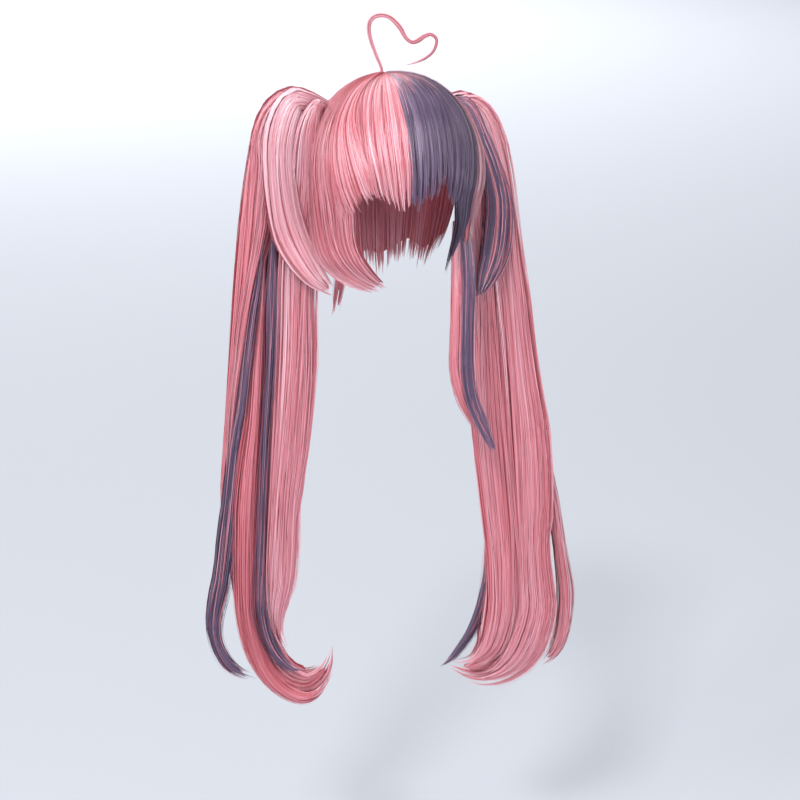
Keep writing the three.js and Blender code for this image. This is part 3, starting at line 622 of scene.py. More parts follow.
def ramp(tree, factor, stops):
    node = tree.nodes.new("ShaderNodeValToRGB")
    elements = node.color_ramp.elements
    while len(elements) < len(stops):
        elements.new(0.5)
    for element, (place, color) in zip(elements, stops):
        element.position = place
        element.color = (*color, 1)
    tree.links.new(factor, node.inputs["Fac"])
    return node.outputs["Color"]


def blend(tree, kind, factor, a, b):
    node = tree.nodes.new("ShaderNodeMix")
    node.data_type = "RGBA"
    node.blend_type = kind
    for socket, value in zip((node.inputs["Factor"], node.inputs["A"], node.inputs["B"]), (factor, a, b)):
        if isinstance(value, (int, float)):
            socket.default_value = value
        elif isinstance(value, tuple):
            node.inputs["B" if value is b else "A"].default_value = (*value, 1)
        else:
            tree.links.new(value, socket)
    return node.outputs["Result"]


def hair_material(name, shades, painted_shade_color, roughness, gloss):
    """Glossy fibre: each strand has its own tint, which drifts along it. Painted shade makes it darker further in and
    half way down.
    """
    material, tree, shader = nodes_of(name)
    tint, deep, way = (attribute(tree, n) for n in ("tint", "deep", "way"))
    place = tree.nodes.new("ShaderNodeCombineXYZ")
    tree.links.new(math_node(tree, "MULTIPLY", tint, 90.0), place.inputs[0])
    tree.links.new(math_node(tree, "MULTIPLY", way, 9.0), place.inputs[1])
    drift = tree.nodes.new("ShaderNodeTexNoise")
    drift.inputs["Scale"].default_value = 1.0
    drift.inputs["Detail"].default_value = 3.0
    tree.links.new(place.outputs[0], drift.inputs["Vector"])
    # Painted shade: the tint is darkened about half way down every strand, where less light falls.
    squared = math_node(tree, "POWER", way, 2.0)
    half_way_painted_shade = math_node(tree, "MULTIPLY", squared, math_node(tree, "SUBTRACT", 1.0, squared))
    tint_with_painted_shade = math_node(tree, "MULTIPLY_ADD", half_way_painted_shade, -1.1, math_node(tree, "SUBTRACT", tint, 0.1))
    shade = math_node(tree, "MULTIPLY_ADD", drift.outputs["Fac"], 0.4, tint_with_painted_shade)
    color = ramp(tree, shade, shades)
    # Painted shade: deep mixes the tint toward a dark shade colour, further inside the hair and near the whorl.
    color = blend(tree, "MIX", deep, color, painted_shade_color)
    tree.links.new(color, shader.inputs["Base Color"])
    rough = math_node(tree, "MULTIPLY_ADD", drift.outputs["Fac"], 0.2, roughness - 0.1)
    rough = math_node(tree, "MULTIPLY_ADD", deep, 0.2, rough, clamp=True)
    tree.links.new(rough, shader.inputs["Roughness"])
    shader.inputs["Specular IOR Level"].default_value = gloss
    shader.inputs["IOR"].default_value = 1.7
    shader.inputs["Specular Tint"].default_value = (1, 0.9, 0.98, 1)
    shader.inputs["Anisotropic"].default_value = 1.0
    tangent = tree.nodes.new("ShaderNodeTangent")
    tangent.direction_type = "UV_MAP"
    tangent.uv_map = BAKE_MAP
    tree.links.new(tangent.outputs[0], shader.inputs["Tangent"])
    fibres = tree.nodes.new("ShaderNodeTexWave")
    fibres.inputs["Scale"].default_value = 1.6
    fibres.inputs["Distortion"].default_value = 1.2
    lines = tree.nodes.new("ShaderNodeCombineXYZ")
    tree.links.new(math_node(tree, "MULTIPLY", attribute(tree, "across"), 1.4), lines.inputs[0])
    tree.links.new(math_node(tree, "MULTIPLY", way, 2.0), lines.inputs[1])
    tree.links.new(lines.outputs[0], fibres.inputs["Vector"])
    bump = tree.nodes.new("ShaderNodeBump")
    bump.inputs["Strength"].default_value = 0.2
    bump.inputs["Distance"].default_value = 0.0002
    tree.links.new(fibres.outputs["Fac"], bump.inputs["Height"])
    kinks = tree.nodes.new("ShaderNodeTexNoise")
    kinks.inputs["Scale"].default_value = 1.0
    kinks.inputs["Detail"].default_value = 2.0
    along_strand = tree.nodes.new("ShaderNodeCombineXYZ")
    tree.links.new(math_node(tree, "MULTIPLY", tint, 400.0), along_strand.inputs[0])
    tree.links.new(math_node(tree, "MULTIPLY", way, 40.0), along_strand.inputs[1])
    tree.links.new(along_strand.outputs[0], kinks.inputs["Vector"])
    crimp = tree.nodes.new("ShaderNodeBump")
    crimp.inputs["Strength"].default_value = 0.6
    crimp.inputs["Distance"].default_value = 0.0012
    tree.links.new(kinks.outputs["Fac"], crimp.inputs["Height"])
    tree.links.new(bump.outputs[0], crimp.inputs["Normal"])
    tree.links.new(crimp.outputs[0], shader.inputs["Normal"])
    return material


PINK_HAIR = hair_material(
    "hair_pink",
    [
        (0.0, (0.62, 0.12, 0.15)),
        (0.3, (0.74, 0.19, 0.235)),
        (0.55, (0.80, 0.32, 0.38)),
        (0.8, (0.87, 0.48, 0.545)),
        (1.0, (0.93, 0.68, 0.73)),
    ],
    # painted shade colour for pink, mixed in by deep
    (0.55, 0.075, 0.10),
    0.35,
    1.0,
)
PURPLE_HAIR = hair_material(
    "hair_purple",
    [
        (0.0, (0.065, 0.04, 0.088)),
        (0.35, (0.098, 0.06, 0.13)),
        (0.6, (0.145, 0.09, 0.18)),
        (0.85, (0.225, 0.152, 0.25)),
        (1.0, (0.4, 0.285, 0.38)),
    ],
    # painted shade colour for purple, mixed in by deep
    (0.07, 0.037, 0.082),
    0.38,
    0.75,
)
HAIR = [PINK_HAIR, PURPLE_HAIR]


# Meshes
class Weave:
    """Gathers the ribbons and cores of one piece, and makes its mesh."""

    def __init__(self):
        self.verts, self.quads, self.dyes, self.maps = [], [], [], []
        # deep carries painted shade: how far each point's tint is mixed toward the dark shade colour.
        self.values = {name: [] for name in ("tint", "deep", "way", "across")}
        self.count = 0

    def grid(self, points, closed, dye, bake, **values):
        """Quads over points of shape (strips, rows, columns, 3), closed along the columns or not."""
        strips, rows, columns = points.shape[:3]
        index = np.arange(strips * rows * columns).reshape(strips, rows, columns) + self.count
        nxt = np.roll(index, -1, 2) if closed else index[:, :, 1:]
        here = index if closed else index[:, :, :-1]
        quads = np.stack([here[:, :-1], nxt[:, :-1], nxt[:, 1:], here[:, 1:]], -1)
        self.verts.append(points.reshape(-1, 3))
        self.quads.append(quads.reshape(-1, 4))
        shape = (strips, rows, columns)
        for name, held in self.values.items():
            held.append(np.broadcast_to(values[name], shape).ravel())
        self.dyes.append(np.broadcast_to(np.asarray(dye).reshape(-1, 1, 1), quads.shape[:3]).ravel())
        self.maps.append(np.broadcast_to(bake, (*shape, 2)).reshape(-1, 2))
        self.count += strips * rows * columns

    def strands(self, paths, normals, width, tint, deep, dye, taper=0.12, root=1.0, spread=20):
        """Ribbons along paths of shape (strands, rows, 3). They turn a little about their own line, and taper to the tip."""
        count, rows = paths.shape[:2]
        way = np.broadcast_to(np.linspace(0, 1, rows), (count, rows))
        ahead = unit(np.gradient(paths, axis=1))
        across = unit(np.cross(normals, ahead))
        turn = np.radians(rng.uniform(-spread, spread, (count, 1)) + rng.normal(0, 5, (count, rows)))
        across = across * np.cos(turn)[..., None] + normals * np.sin(turn)[..., None]
        profile = np.clip((1 - way) / taper, 0, 1) ** 0.7 * np.clip(root + (1 - root) * way / 0.25, 0, 1)
        half = np.maximum(profile, 0.06) * np.reshape(width, (-1, 1)) / 2
        points = np.stack([paths - across * half[..., None], paths + across * half[..., None]], 2)
        lanes = max(1, round(math.sqrt(count / 6)))
        columns = math.ceil(count / lanes)
        lane, column = np.divmod(np.arange(count), columns)
        u = (column[:, None, None] + np.array([0.1, 0.9])) / columns
        v = (lane[:, None, None] + 0.02 + 0.96 * way[..., None]) / lanes
        bake = np.stack(np.broadcast_arrays(0.25 + 0.75 * u, v), -1)
        self.grid(
            points,
            False,
            dye,
            bake,
            tint=np.reshape(tint, (-1, 1, 1)),
            deep=np.reshape(deep, (count, -1, 1)),
            way=way[..., None],
            across=np.array([0.0, 1.0]) + 0 * way[..., None],
        )

    def core(self, points, dye, deep=0.6, streak=0.25):
        """A closed skin through rings of shape (rows, columns, 3), with streaks along it, darkened toward the painted
        shade colour by deep.
        """
        rows, columns = points.shape[:2]
        way = np.linspace(0, 1, rows)[:, None]
        tint = 0.35 + streak * rng.uniform(-1, 1, columns)[None, :]
        round_share = np.arange(columns)[None, :] / columns
        bake = np.stack(np.broadcast_arrays(0.24 * round_share, way), -1)[None]
        self.grid(
            points[None],
            True,
            [dye],
            bake,
            tint=tint,
            deep=deep,
            way=way,
            across=np.arange(columns)[None, :] * 1.0,
        )

    def piece(self, name, slot, nodes, materials=HAIR):
        mesh = bpy.data.meshes.new(name)
        verts = np.concatenate(self.verts) * MM
        quads = np.concatenate(self.quads)
        mesh.vertices.add(len(verts))
        mesh.vertices.foreach_set("co", verts.astype(np.float32).ravel())
        mesh.loops.add(quads.size)
        mesh.loops.foreach_set("vertex_index", quads.astype(np.int32).ravel())
        mesh.polygons.add(len(quads))
        mesh.polygons.foreach_set("loop_start", np.arange(0, quads.size, 4, dtype=np.int32))
        mesh.polygons.foreach_set("material_index", np.concatenate(self.dyes).astype(np.int32))
        mesh.polygons.foreach_set("use_smooth", np.ones(len(quads), bool))
        uv = mesh.uv_layers.new(name=BAKE_MAP)
        uv.uv.foreach_set("vector", np.concatenate(self.maps)[quads.ravel()].astype(np.float32).ravel())
        for key, held in self.values.items():
            mesh.attributes.new(key, "FLOAT", "POINT").data.foreach_set(
                "value", np.concatenate(held).astype(np.float32)
            )
        for material in materials:
            mesh.materials.append(material)
        mesh.update(calc_edges=True)
        mesh.validate()
        piece = bpy.data.objects.new(name, mesh)
        bpy.context.scene.collection.objects.link(piece)
        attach(piece, "root")
        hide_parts(*nodes)
        return piece


# Hair on a panel
class Clumps:
    """Random groups of strands that lie side by side."""

    def __init__(self, start, low, high, count):
        edges = np.cumsum(rng.uniform(0.45, 1.55, count))
        edges = low + (high - low) * edges / edges[-1]
        self.count = count
        self.of = np.minimum(np.searchsorted(edges, start), count - 1)
        lower = np.concatenate([[low], edges[:-1]])
        self.middle = ((lower + edges) / 2)[self.of]
        self.side = np.clip(np.abs(start - self.middle) * 2 / (edges - lower)[self.of], 0, 1)

    def vary(self, low, high):
        return rng.uniform(low, high, self.count)[self.of]

    def drift(self, deviation):
        return rng.normal(0, deviation, self.count)[self.of]

    def sway(self, t, fewest=0.4, most=1.3):
        """A slow wave along the strands, the same for a whole group."""
        turns = self.vary(fewest, most)[:, None]
        return np.sin(2 * np.pi * (turns * t + self.vary(0, 1)[:, None])) * np.minimum(1, 4 * t)


def shades(tuft, wisp, own=0.12):
    return np.clip(0.5 + tuft.drift(0.07) + wisp.drift(0.09) + rng.normal(0, own, len(tuft.of)), 0, 1)


def panel_core(weave, panel, dye, stop=0.9):
    rows, steps = 40, 26
    t = np.linspace(0, stop, rows)[:, None]
    u = np.linspace(-0.01, 1.01, steps + 1)[None, :]
    rim = np.clip(1.15 - (2 * u - 1) ** 8, 0, 1)
    close = np.clip((stop - t) / 0.08, 0, 1) ** 0.5
    layer = panel.layer(t)
    middle = -0.55 * layer
    front = panel.point(u + 0 * t, t + 0 * u, middle + (0.55 * layer - 1.6) * rim * close)
    rear = panel.point(u + 0 * t, t + 0 * u, middle - (0.45 * layer - 0.5) * rim * close)
    weave.core(np.concatenate([front, rear[:, ::-1]], 1), dye)


def panel_strands(
    weave, panel, count, dye, tufts, wisps=None, rows=24, edges=(0.0, 1.0), gather=0.45, pinch=0.6,
    layer=(-1.7, 0.5), groove=1.0, width=(0.55, 1.0), tuft_ends=(0.95, 1.0), wisp_ends=(0.93, 1.0), fray=0.06,
    sway=0.16, rear=False, first=0.0, other=PURPLE, streaks=0.0, pale=0.0,
):
    """Strands that start spread over the panel and gather into wisps and tufts towards the hem."""
    start = rng.uniform(*edges, count)
    tuft = Clumps(start, *edges, tufts)
    wisp = Clumps(start, *edges, wisps or 6 * tufts)
    length = tuft.vary(*tuft_ends) * wisp.vary(*wisp_ends) * (1 - fray * rng.uniform(0, 1, count) ** 2)
    t = first + np.linspace(0, 1, rows)[None, :] * (length - first)[:, None]
    late = gather * t**2
    home = start[:, None] + (tuft.middle - start)[:, None] * late
    target = wisp.middle[:, None] + (tuft.middle - wisp.middle)[:, None] * late
    u = mix(home, target, pinch * np.clip(1.1 * t, 0, 1) ** 1.5)
    u += sway / tufts * tuft.sway(t) + 0.5 * sway / tufts * wisp.sway(t)
    u += 0.2 / (6 * tufts) * np.sin(2 * np.pi * (1.7 * t + rng.uniform(0, 1, (count, 1))))
    height = rng.uniform(0, 1, count)
    raised = mix(layer[0], layer[1], height)[:, None]
    raised = raised - (groove * tuft.side**2 + 0.45 * wisp.side**2)[:, None] * np.minimum(1, 3 * t)
    if rear:
        raised = -panel.layer(t) + 0.2 - 0.6 * height[:, None]
    paths = panel.point(u, t, raised)
    normals = panel.normal(u, t) * (-1 if rear else 1)
    # pale lifts or lowers the piece's tint: for most pieces this is painted light and shade for how the lamps fall on
    # them, for a few it is paler strands.
    shade = np.clip(shades(tuft, wisp) + pale, 0, 1)
    # Painted shade: strands lying lower in the panel and at the sides of a tuft are darker, as if shadowed by the
    # strands over them.
    deep = (np.clip(0.55 - height, 0, 1) * 0.9 + 0.25 * tuft.side**4)[:, None]
    # Painted shade: pink strands are darker near the whorl, toning down the brightly lit top of the head.
    deep = deep + (1.2 if dye == PINK else 0.0) * (1 - t) ** 4
    mixed = mix(wisp.vary(0, 1), rng.uniform(0, 1, count), 0.5)
    dyes = np.where(mixed < streaks, other, dye)
    weave.strands(paths, normals, rng.uniform(*width, count), shade, deep, dyes, root=0.3 if first == 0 else 1)


# Hair in a lock
def lock_core(weave, lock, dye, stop=0.93, fill=0.88):
    rows, steps = 48, 18
    t = np.linspace(0, stop, rows)[:, None]
    angle = np.linspace(0, 2 * np.pi, steps, endpoint=False)[None, :]
    close = np.clip((stop - t) / 0.12, 0.02, 1) ** 0.5 * np.clip(t / 0.03 + 0.4, 0, 1)
    x = fill * np.cos(angle) * close
    y = fill * np.sign(np.sin(angle)) * np.abs(np.sin(angle)) ** 0.6 * close
    weave.core(lock.point(x, y, t + 0 * angle), dye)


def ring_point(ring, radius, flat):
    """A point of a lock's section: the front from side to side as ring goes from 0 to 0.5, then the rear."""
    front = ring < 0.5
    x = np.where(front, 4 * ring - 1, 3 - 4 * ring)
    y = np.where(front, 1, -1) * np.maximum(flat, np.maximum(0, 1 - x * x) ** 0.28)
    return radius * x, radius * y


def lock_strands(
    weave, lock, count, dye, tufts, wisps=None, rows=30, gather=0.4, pinch=0.6, width=(0.55, 1.0),
    shell=(0.82, 1.02), groove=0.07, tuft_ends=(0.92, 1.0), wisp_ends=(0.92, 1.0), fray=0.07, sway=0.05,
    streaks=0.0, other=PURPLE, front=0.62, root=0.7, pale=0.0, band=(0.0, 1.0), depth=0.5, flat=0.0, overlap=0.0,
    start=0.0, section=ring_point,
):
    """Strands round the outside of a lock, gathered into wisps and tufts. Some wisps may have the other dye."""
    ring = rng.uniform(0, 1, count)
    ring = np.where(ring < front, ring / front * 0.5, 0.5 + 0.5 * (ring - front) / (1 - front))
    ring = band[0] + (band[1] - band[0]) * ring
    tuft = Clumps(ring, *band, tufts)
    wisp = Clumps(ring, *band, wisps or 6 * tufts)
    radius = rng.uniform(*shell, count) - groove * tuft.side**2 - 0.4 * groove * wisp.side**2
    length = tuft.vary(*tuft_ends) * wisp.vary(*wisp_ends) * (1 - fray * rng.uniform(0, 1, count) ** 2)
    begin = start * rng.uniform(0, 1, count) ** 1.5
    share = np.linspace(0, 1, rows)[None, :]
    t = begin[:, None] + mix(share, share**2 * (3 - 2 * share), 0.6) * (length - begin)[:, None]
    late = gather * t**2
    squeeze = pinch * np.clip(1.1 * t, 0, 1) ** 1.5
    place = []
    own, of_wisp, of_tuft = (section(r, radius, flat) for r in (ring, wisp.middle, tuft.middle))
    for axis in (0, 1):
        home = own[axis][:, None] + (of_tuft[axis] - own[axis])[:, None] * late
        target = of_wisp[axis][:, None] + (of_tuft[axis] - of_wisp[axis])[:, None] * late
        swing = sway * (tuft.sway(t, 0.5, 2) + 0.6 * wisp.sway(t, 0.5, 3))
        swing = swing + 0.25 * sway * np.sin(2 * np.pi * (2.1 * t + rng.uniform(0, 1, (count, 1))))
        place.append(mix(home, target, squeeze) + swing)
    place[0] = place[0] * (1 + 2 * overlap / along(lock.widths, t) * np.minimum(1, 5 * t))
    paths = lock.point(*place, t)
    normals = lock.normal(own[0][:, None] + 0 * t, own[1][:, None] + 0 * t, t)
    # pale lifts or lowers the lock's tint: for most locks this is painted light and shade for how the lamps fall on
    # them, for a few it is paler strands.
    shade = np.clip(shades(tuft, wisp) + pale, 0, 1)
    # Painted shade: strands further inside the lock and at the sides of a tuft are darker, and depth scales this
    # painted shade.
    deep = depth * (np.clip((0.95 - radius) * 5, 0, 1) + 0.4 * tuft.side**4)
    mixed = mix(wisp.vary(0, 1), rng.uniform(0, 1, count), 0.5)
    dyes = np.where(mixed < streaks, other, dye)
    weave.strands(paths, normals, rng.uniform(*width, count), shade, deep, dyes, root=root)


SIDE_SPAN = {0.0: (-0.95, 0.95), 1.0: (-0.95, 1.7)}


def seam_point(ring, radius, flat):
    """A point at the lock's two sides, from its rear to its front, or on to the front of the lock before it."""
    outer = ring < 0.5
    return np.where(outer, 1, -1) * (radius + 0.02), mix(*SIDE_SPAN[flat], (2 * ring) % 1)


# The pieces
def make_panel(name, panel, count, dye, tufts, nodes, slot, stop=0.9, more=None, **how):
    weave = Weave()
    panel_core(weave, panel, dye, stop)
    panel_strands(weave, panel, count, dye, tufts, **how)
    inside = {**how, "rows": 14, "rear": True, "width": (0.9, 1.4), "pinch": 0.3, "gather": 0.15}
    panel_strands(weave, panel, count // 3, dye, tufts, **inside)
    loose = {**how, "gather": 0, "pinch": 0.1, "layer": (0.3, 1.6), "width": (0.22, 0.4), "sway": 0.5, "groove": 0}
    panel_strands(weave, panel, count // 14, dye, tufts, **loose)
    if more:
        more(weave)
    return weave.piece(f"{name}_hair", slot, nodes)


def make_lock(name, lock, count, dye, tufts, nodes, slot, core=True, veil=0.0, seam=0, ahead=0.0, **how):
    weave = Weave()
    if seam:
        sides = {"shell": (0.9, 0.97), "gather": 0, "section": seam_point, "flat": ahead, "width": (0.8, 1.3)}
        lock_strands(weave, lock, seam, dye, 8, **{**how, **sides})
    if core:
        lock_core(weave, lock, dye)
    lock_strands(weave, lock, count, dye, tufts, **how)
    if veil:
        over = {"band": (0.02, 0.48), "shell": (0.9, 1.05), "gather": 0.1, "pinch": 0.3, "sway": 0.12, "groove": 0}
        over.update(flat=0.85, overlap=veil, width=(0.4, 0.8), fray=0.15)
        lock_strands(weave, lock, count // 4, dye, tufts, **{**how, **over})
    loose = {"gather": 0, "pinch": 0.1, "width": (0.22, 0.4), "shell": (0.95, 1.1), "sway": 0.11, "groove": 0}
    lock_strands(weave, lock, count // 16, dye, tufts, **{**how, **loose})
    return weave.piece(f"{name}_hair", slot, nodes)


# The cap: an elastic net between two skins, with sewn weft rows, straps and a bound rim
CAP_RIM = [0.8, 0.82, 1.02, 1.28, 1.2, 1.14, 1.28, 1.42, 1.5]
CAP_NAPE_TUCK = 5
CAP_TURNS = np.linspace(0, 360, 96, endpoint=False)
WEFT_ROWS = 15
WEFT_HEIGHT = 0.028


def cap_point(turn, share, lift):
    """The head form under the cap: share 0 at the whorl and 1 at the rim."""
    reach = along(CAP_RIM, (180 - np.abs(180 - turn)) / 180) * share
    return head_point(turn, reach, lift - CAP_NAPE_TUCK * np.maximum(reach - 1, 0))


def cap_ring(weave, section, share, dye, lift, tall, thick):
    """A band round the cap, of a flattened round section."""
    angle = np.linspace(0, 2 * np.pi, section, endpoint=False)[:, None]
    turn = CAP_TURNS[None, :] + 0 * angle
    points = cap_point(turn, share + tall * np.sin(angle), lift + thick * np.cos(angle))
    weave.core(np.concatenate([points, points[:1]]), dye, deep=0.0)


def cap_material(name, dark, light, threads, weave_lines, roughness):
    """Matt cloth with a crossing pattern of threads."""
    material, tree, shader = nodes_of(name)
    across = math_node(tree, "MULTIPLY", attribute(tree, "across"), threads)
    down = math_node(tree, "MULTIPLY", attribute(tree, "way"), weave_lines)
    lines = []
    for operation in ("ADD", "SUBTRACT"):
        slant = math_node(tree, operation, across, down)
        lines.append(math_node(tree, "ABSOLUTE", math_node(tree, "SINE", slant)))
    mesh = math_node(tree, "MAXIMUM", *[math_node(tree, "POWER", line, 4.0) for line in lines])
    cloudy = tree.nodes.new("ShaderNodeTexNoise")
    cloudy.inputs["Scale"].default_value = 60.0
    cloudy.inputs["Detail"].default_value = 3.0
    worn = math_node(tree, "MULTIPLY_ADD", cloudy.outputs["Fac"], 0.5, math_node(tree, "MULTIPLY", mesh, 0.6))
    tree.links.new(ramp(tree, worn, [(0.15, dark), (0.85, light)]), shader.inputs["Base Color"])
    rough = math_node(tree, "MULTIPLY_ADD", cloudy.outputs["Fac"], 0.2, roughness - 0.1)
    tree.links.new(rough, shader.inputs["Roughness"])
    shader.inputs["Specular IOR Level"].default_value = 0.3
    bump = tree.nodes.new("ShaderNodeBump")
    bump.inputs["Strength"].default_value = 0.5
    bump.inputs["Distance"].default_value = 0.0006
    tree.links.new(mesh, bump.inputs["Height"])
    tree.links.new(bump.outputs[0], shader.inputs["Normal"])
    return material


NET = cap_material("cap_net", (0.30, 0.075, 0.10), (0.72, 0.30, 0.36), 2.4, 330.0, 0.75)
WEFT = cap_material("cap_weft", (0.42, 0.11, 0.145), (0.82, 0.36, 0.42), 3.1, 60.0, 0.6)
TAPE = cap_material("clip_tape", (0.12, 0.035, 0.015), (0.42, 0.15, 0.07), 2.2, 240.0, 0.65)


def make_cap():
    weave = Weave()
    share = np.linspace(0.01, 0.985, 26)[:, None]
    turn = CAP_TURNS[None, :] + 0 * share
    inner = cap_point(turn, share, 1.5)
    outer = cap_point(turn, share, CAP_WALL - 0.4)
    weave.core(np.concatenate([inner, outer[::-1]]), 0, deep=0.0)
    for row in range(1, WEFT_ROWS):
        cap_ring(weave, 6, row / WEFT_ROWS, 1, 1.2, WEFT_HEIGHT / 2, 0.8)
    cap_ring(weave, 12, 0.985, 1, 2.6, 0.014, 2.2)
    for middle in (0, 90, 180, 270):
        share = np.linspace(0.03, 0.98, 50)[:, None]
        angle = np.linspace(0, 2 * np.pi, 12, endpoint=False)[None, :]
        spread = 5.0 / (share * 80) * 57.3
        points = cap_point((middle + spread * np.cos(angle)) % 360, share + 0 * angle, 0.7 + 0.6 * np.sin(angle))
        weave.core(points, 1, deep=0.0)
    return weave.piece("cap_net", "cap_net", ["cap"], [NET, WEFT])


# A clip: the weft of the tail wound round its claw
CLIP_LENGTH, CLIP_WIDTH, CLIP_HEIGHT, CLIP_SUNK = 32, 30, 16, 2
CLIP_WINDINGS = 9


def make_clip(name, sign, node):
    weave = Weave()
    seat = tail_seat(sign)
    share = np.linspace(0, 1, 90)[:, None]
    angle = np.linspace(0, 2 * np.pi, 28, endpoint=False)[None, :]
    wound = np.abs(np.sin(np.pi * CLIP_WINDINGS * share + angle / 2)) ** 0.6
    end = np.clip(np.minimum(share, 1 - share) / 0.06, 0.02, 1) ** 0.5
    radius = (0.86 + 0.14 * wound) * end
    rounded = (np.abs(np.cos(angle)) ** 3 + np.abs(np.sin(angle)) ** 3) ** (-1 / 3)
    points = np.stack(
        np.broadcast_arrays(
            seat[0] + sign * (share * CLIP_LENGTH - CLIP_SUNK),
            seat[1] + radius * rounded * np.cos(angle) * CLIP_WIDTH / 2,
            seat[2] - CLIP_HEIGHT / 2 + radius * rounded * np.sin(angle) * CLIP_HEIGHT / 2,
        ),
        -1,
    )
    weave.core(points, 0, deep=0.0)
    return weave.piece(name, "clip_tape", [node], [TAPE])


make_cap()
make_clip("clip_left_weft", -1, "clip_left")
make_clip("clip_right_weft", 1, "clip_right")

# The strands that end as the fringe's left corner, over the curtain
CORNER = Panel(
    [2.27, 2.1, 1.93, 1.78, 1.66],
    [
        [0.008, -66, -48, 1.06, 1.04, 0.6],
        [0.11, -62, -45.5, 1.12, 1.06, 1],
        [0.21, -57, -42.5, 1.18, 1.08, 1],
        [0.31, -51.5, -37.5, 1.2, 1.08, 1],
        [0.41, -46, -29.5, 1.14, 1.08, 1],
        [0.51, -40.5, -22, 1.02, 1.08, 1],
        [0.62, -35.5, -15.5, 0.8, 1.08, 0.6],
    ],
)


def corner_strands(weave):
    panel_core(weave, CORNER, PINK, 0.9)
    panel_strands(
        weave, CORNER, 460, PINK, 9, rows=20, gather=0.15, pinch=0.35, tuft_ends=(0.96, 1.02), wisp_ends=(0.92, 1.02),
        fray=0.1, edges=(-0.1, 1.06), layer=(-1.2, 0.9), pale=0.1,
    )


def whorl_strands(weave):
    """Short pale strands that lie over the purple near the whorl."""
    panel_strands(
        weave, FRINGE_PURPLE, 150, PINK, 9, rows=14, gather=0, pinch=0.1, layer=(0.4, 0.9), tuft_ends=(0.3, 0.6),
        wisp_ends=(0.5, 1.0), fray=0.4, pale=0.3, edges=(-0.05, 1.05), width=(0.3, 0.7),
    )


# The pale values of the pieces below are mostly painted light and shade: lighter where the lamps catch a piece, darker
# where it lies in shade.
make_panel(
    "fringe_pink", FRINGE_PINK, 640, PINK, 10, ["fringe_pink"], "hair_pink", stop=0.86, edges=(-0.08, 1.03),
    tuft_ends=(0.96, 1.02), wisp_ends=(0.88, 1.03), fray=0.14, pale=0.12,
)
make_panel(
    "fringe_purple", FRINGE_PURPLE, 760, PURPLE, 11, ["fringe_purple"], "hair_purple", stop=0.86, edges=(-0.02, 1.03),
    tuft_ends=(0.96, 1.02), wisp_ends=(0.88, 1.03), fray=0.14, streaks=0.03, other=PINK, more=whorl_strands, pale=0.06,
)
make_panel(
    "curtain_pink", CURTAIN_PINK, 740, PINK, 9, ["curtain_pink"], "hair_pink", rows=36, tuft_ends=(0.95, 1.0),
    wisp_ends=(0.92, 1.0), more=corner_strands, gather=0.3, pale=0.06, edges=(-0.05, 1.0),
)
make_panel(
    "side_lock_purple", SIDE_LOCK_PURPLE, 460, PURPLE, 5, ["side_lock_purple"], "hair_purple", rows=32,
    tuft_ends=(0.9, 1.0), wisp_ends=(0.88, 1.0), fray=0.1, gather=0.3,
)
make_panel(
    "side_edge_pink", SIDE_EDGE_PINK, 500, PINK, 5, ["side_edge_pink"], "hair_pink", rows=30, gather=0.3,
    tuft_ends=(0.9, 1.0), wisp_ends=(0.88, 1.0), pale=0.85, streaks=0.04,
)
for name, panel in (("back_right", BACK_RIGHT), ("back_middle", BACK_MIDDLE), ("back_left", BACK_LEFT)):
    make_panel(
        name, panel, 580, PINK, 7, [name], "hair_pink", rows=26, edges=(-0.04, 1.04), stop=0.88,
        tuft_ends=(0.96, 1.0), wisp_ends=(0.93, 1.0), fray=0.14, gather=0.3, pinch=0.45,
    )

make_lock(
    "long_lock_purple", LONG_PURPLE, 240, PURPLE, 4, ["long_lock_purple"], "hair_purple", rows=30,
    tuft_ends=(0.93, 1.0), wisp_ends=(0.88, 1.0), fray=0.12, width=(0.4, 0.8), streaks=0.12, other=PINK, veil=1.5,
)
make_lock(
    "long_lock_pink", LONG_PINK, 200, PINK, 4, ["long_lock_pink"], "hair_pink", rows=30, tuft_ends=(0.75, 1.0),
    wisp_ends=(0.85, 1.0), fray=0.12, width=(0.4, 0.8), streaks=0.2, veil=2, pale=-0.1,
)

nape_edge = head_point(230, 2.05, -HAIR_LAYER)
NAPE_TUFT = Lock(
    [nape_edge + np.array([-a * TUFT_DROP, 0, -d * TUFT_DROP]) for a, d in ((-0.05, -0.3), (-0.05, 0.4), (0.02, 0.9), (0.16, 1.45))],
    np.array([0.8, 1, 0.7, 0.3]) * TUFT_WIDTH,
    np.array([1, 1, 0.6, 0.3]) * TUFT_DEPTH,
)
make_lock(
    "nape_tuft", NAPE_TUFT, 120, PINK, 5, ["nape_tuft"], "hair_pink", core=False, rows=14, tuft_ends=(0.5, 1.0),
    wisp_ends=(0.7, 1.0), width=(0.4, 0.8), shell=(0.2, 1.0),
)

HEART = Lock(
    np.stack(
        [
            WHORL[0] + HEART_ROWS["x"] * HEART_WIDTH,
            WHORL[1] + 0 * HEART_ROWS["x"],
            HAIR_LOFT - WHORL_DIP + HEART_ROWS["z"] * HEART_HEIGHT,
        ],
        -1,
    ),
    HEART_ROWS["width"] * HEART_RIBBON,
    HEART_ROWS["thick"] * HEART_THICKNESS,
)
make_lock(
    "heart_strand", HEART, 80, PINK, 3, ["heart_strand"], "hair_pink", rows=90, width=(0.35, 0.6), core=False,
    tuft_ends=(0.97, 1.0), wisp_ends=(0.97, 1.0), sway=0.12, gather=0.1, pinch=0.2, shell=(0.1, 0.95), depth=0.1,
    pale=0.1,
)
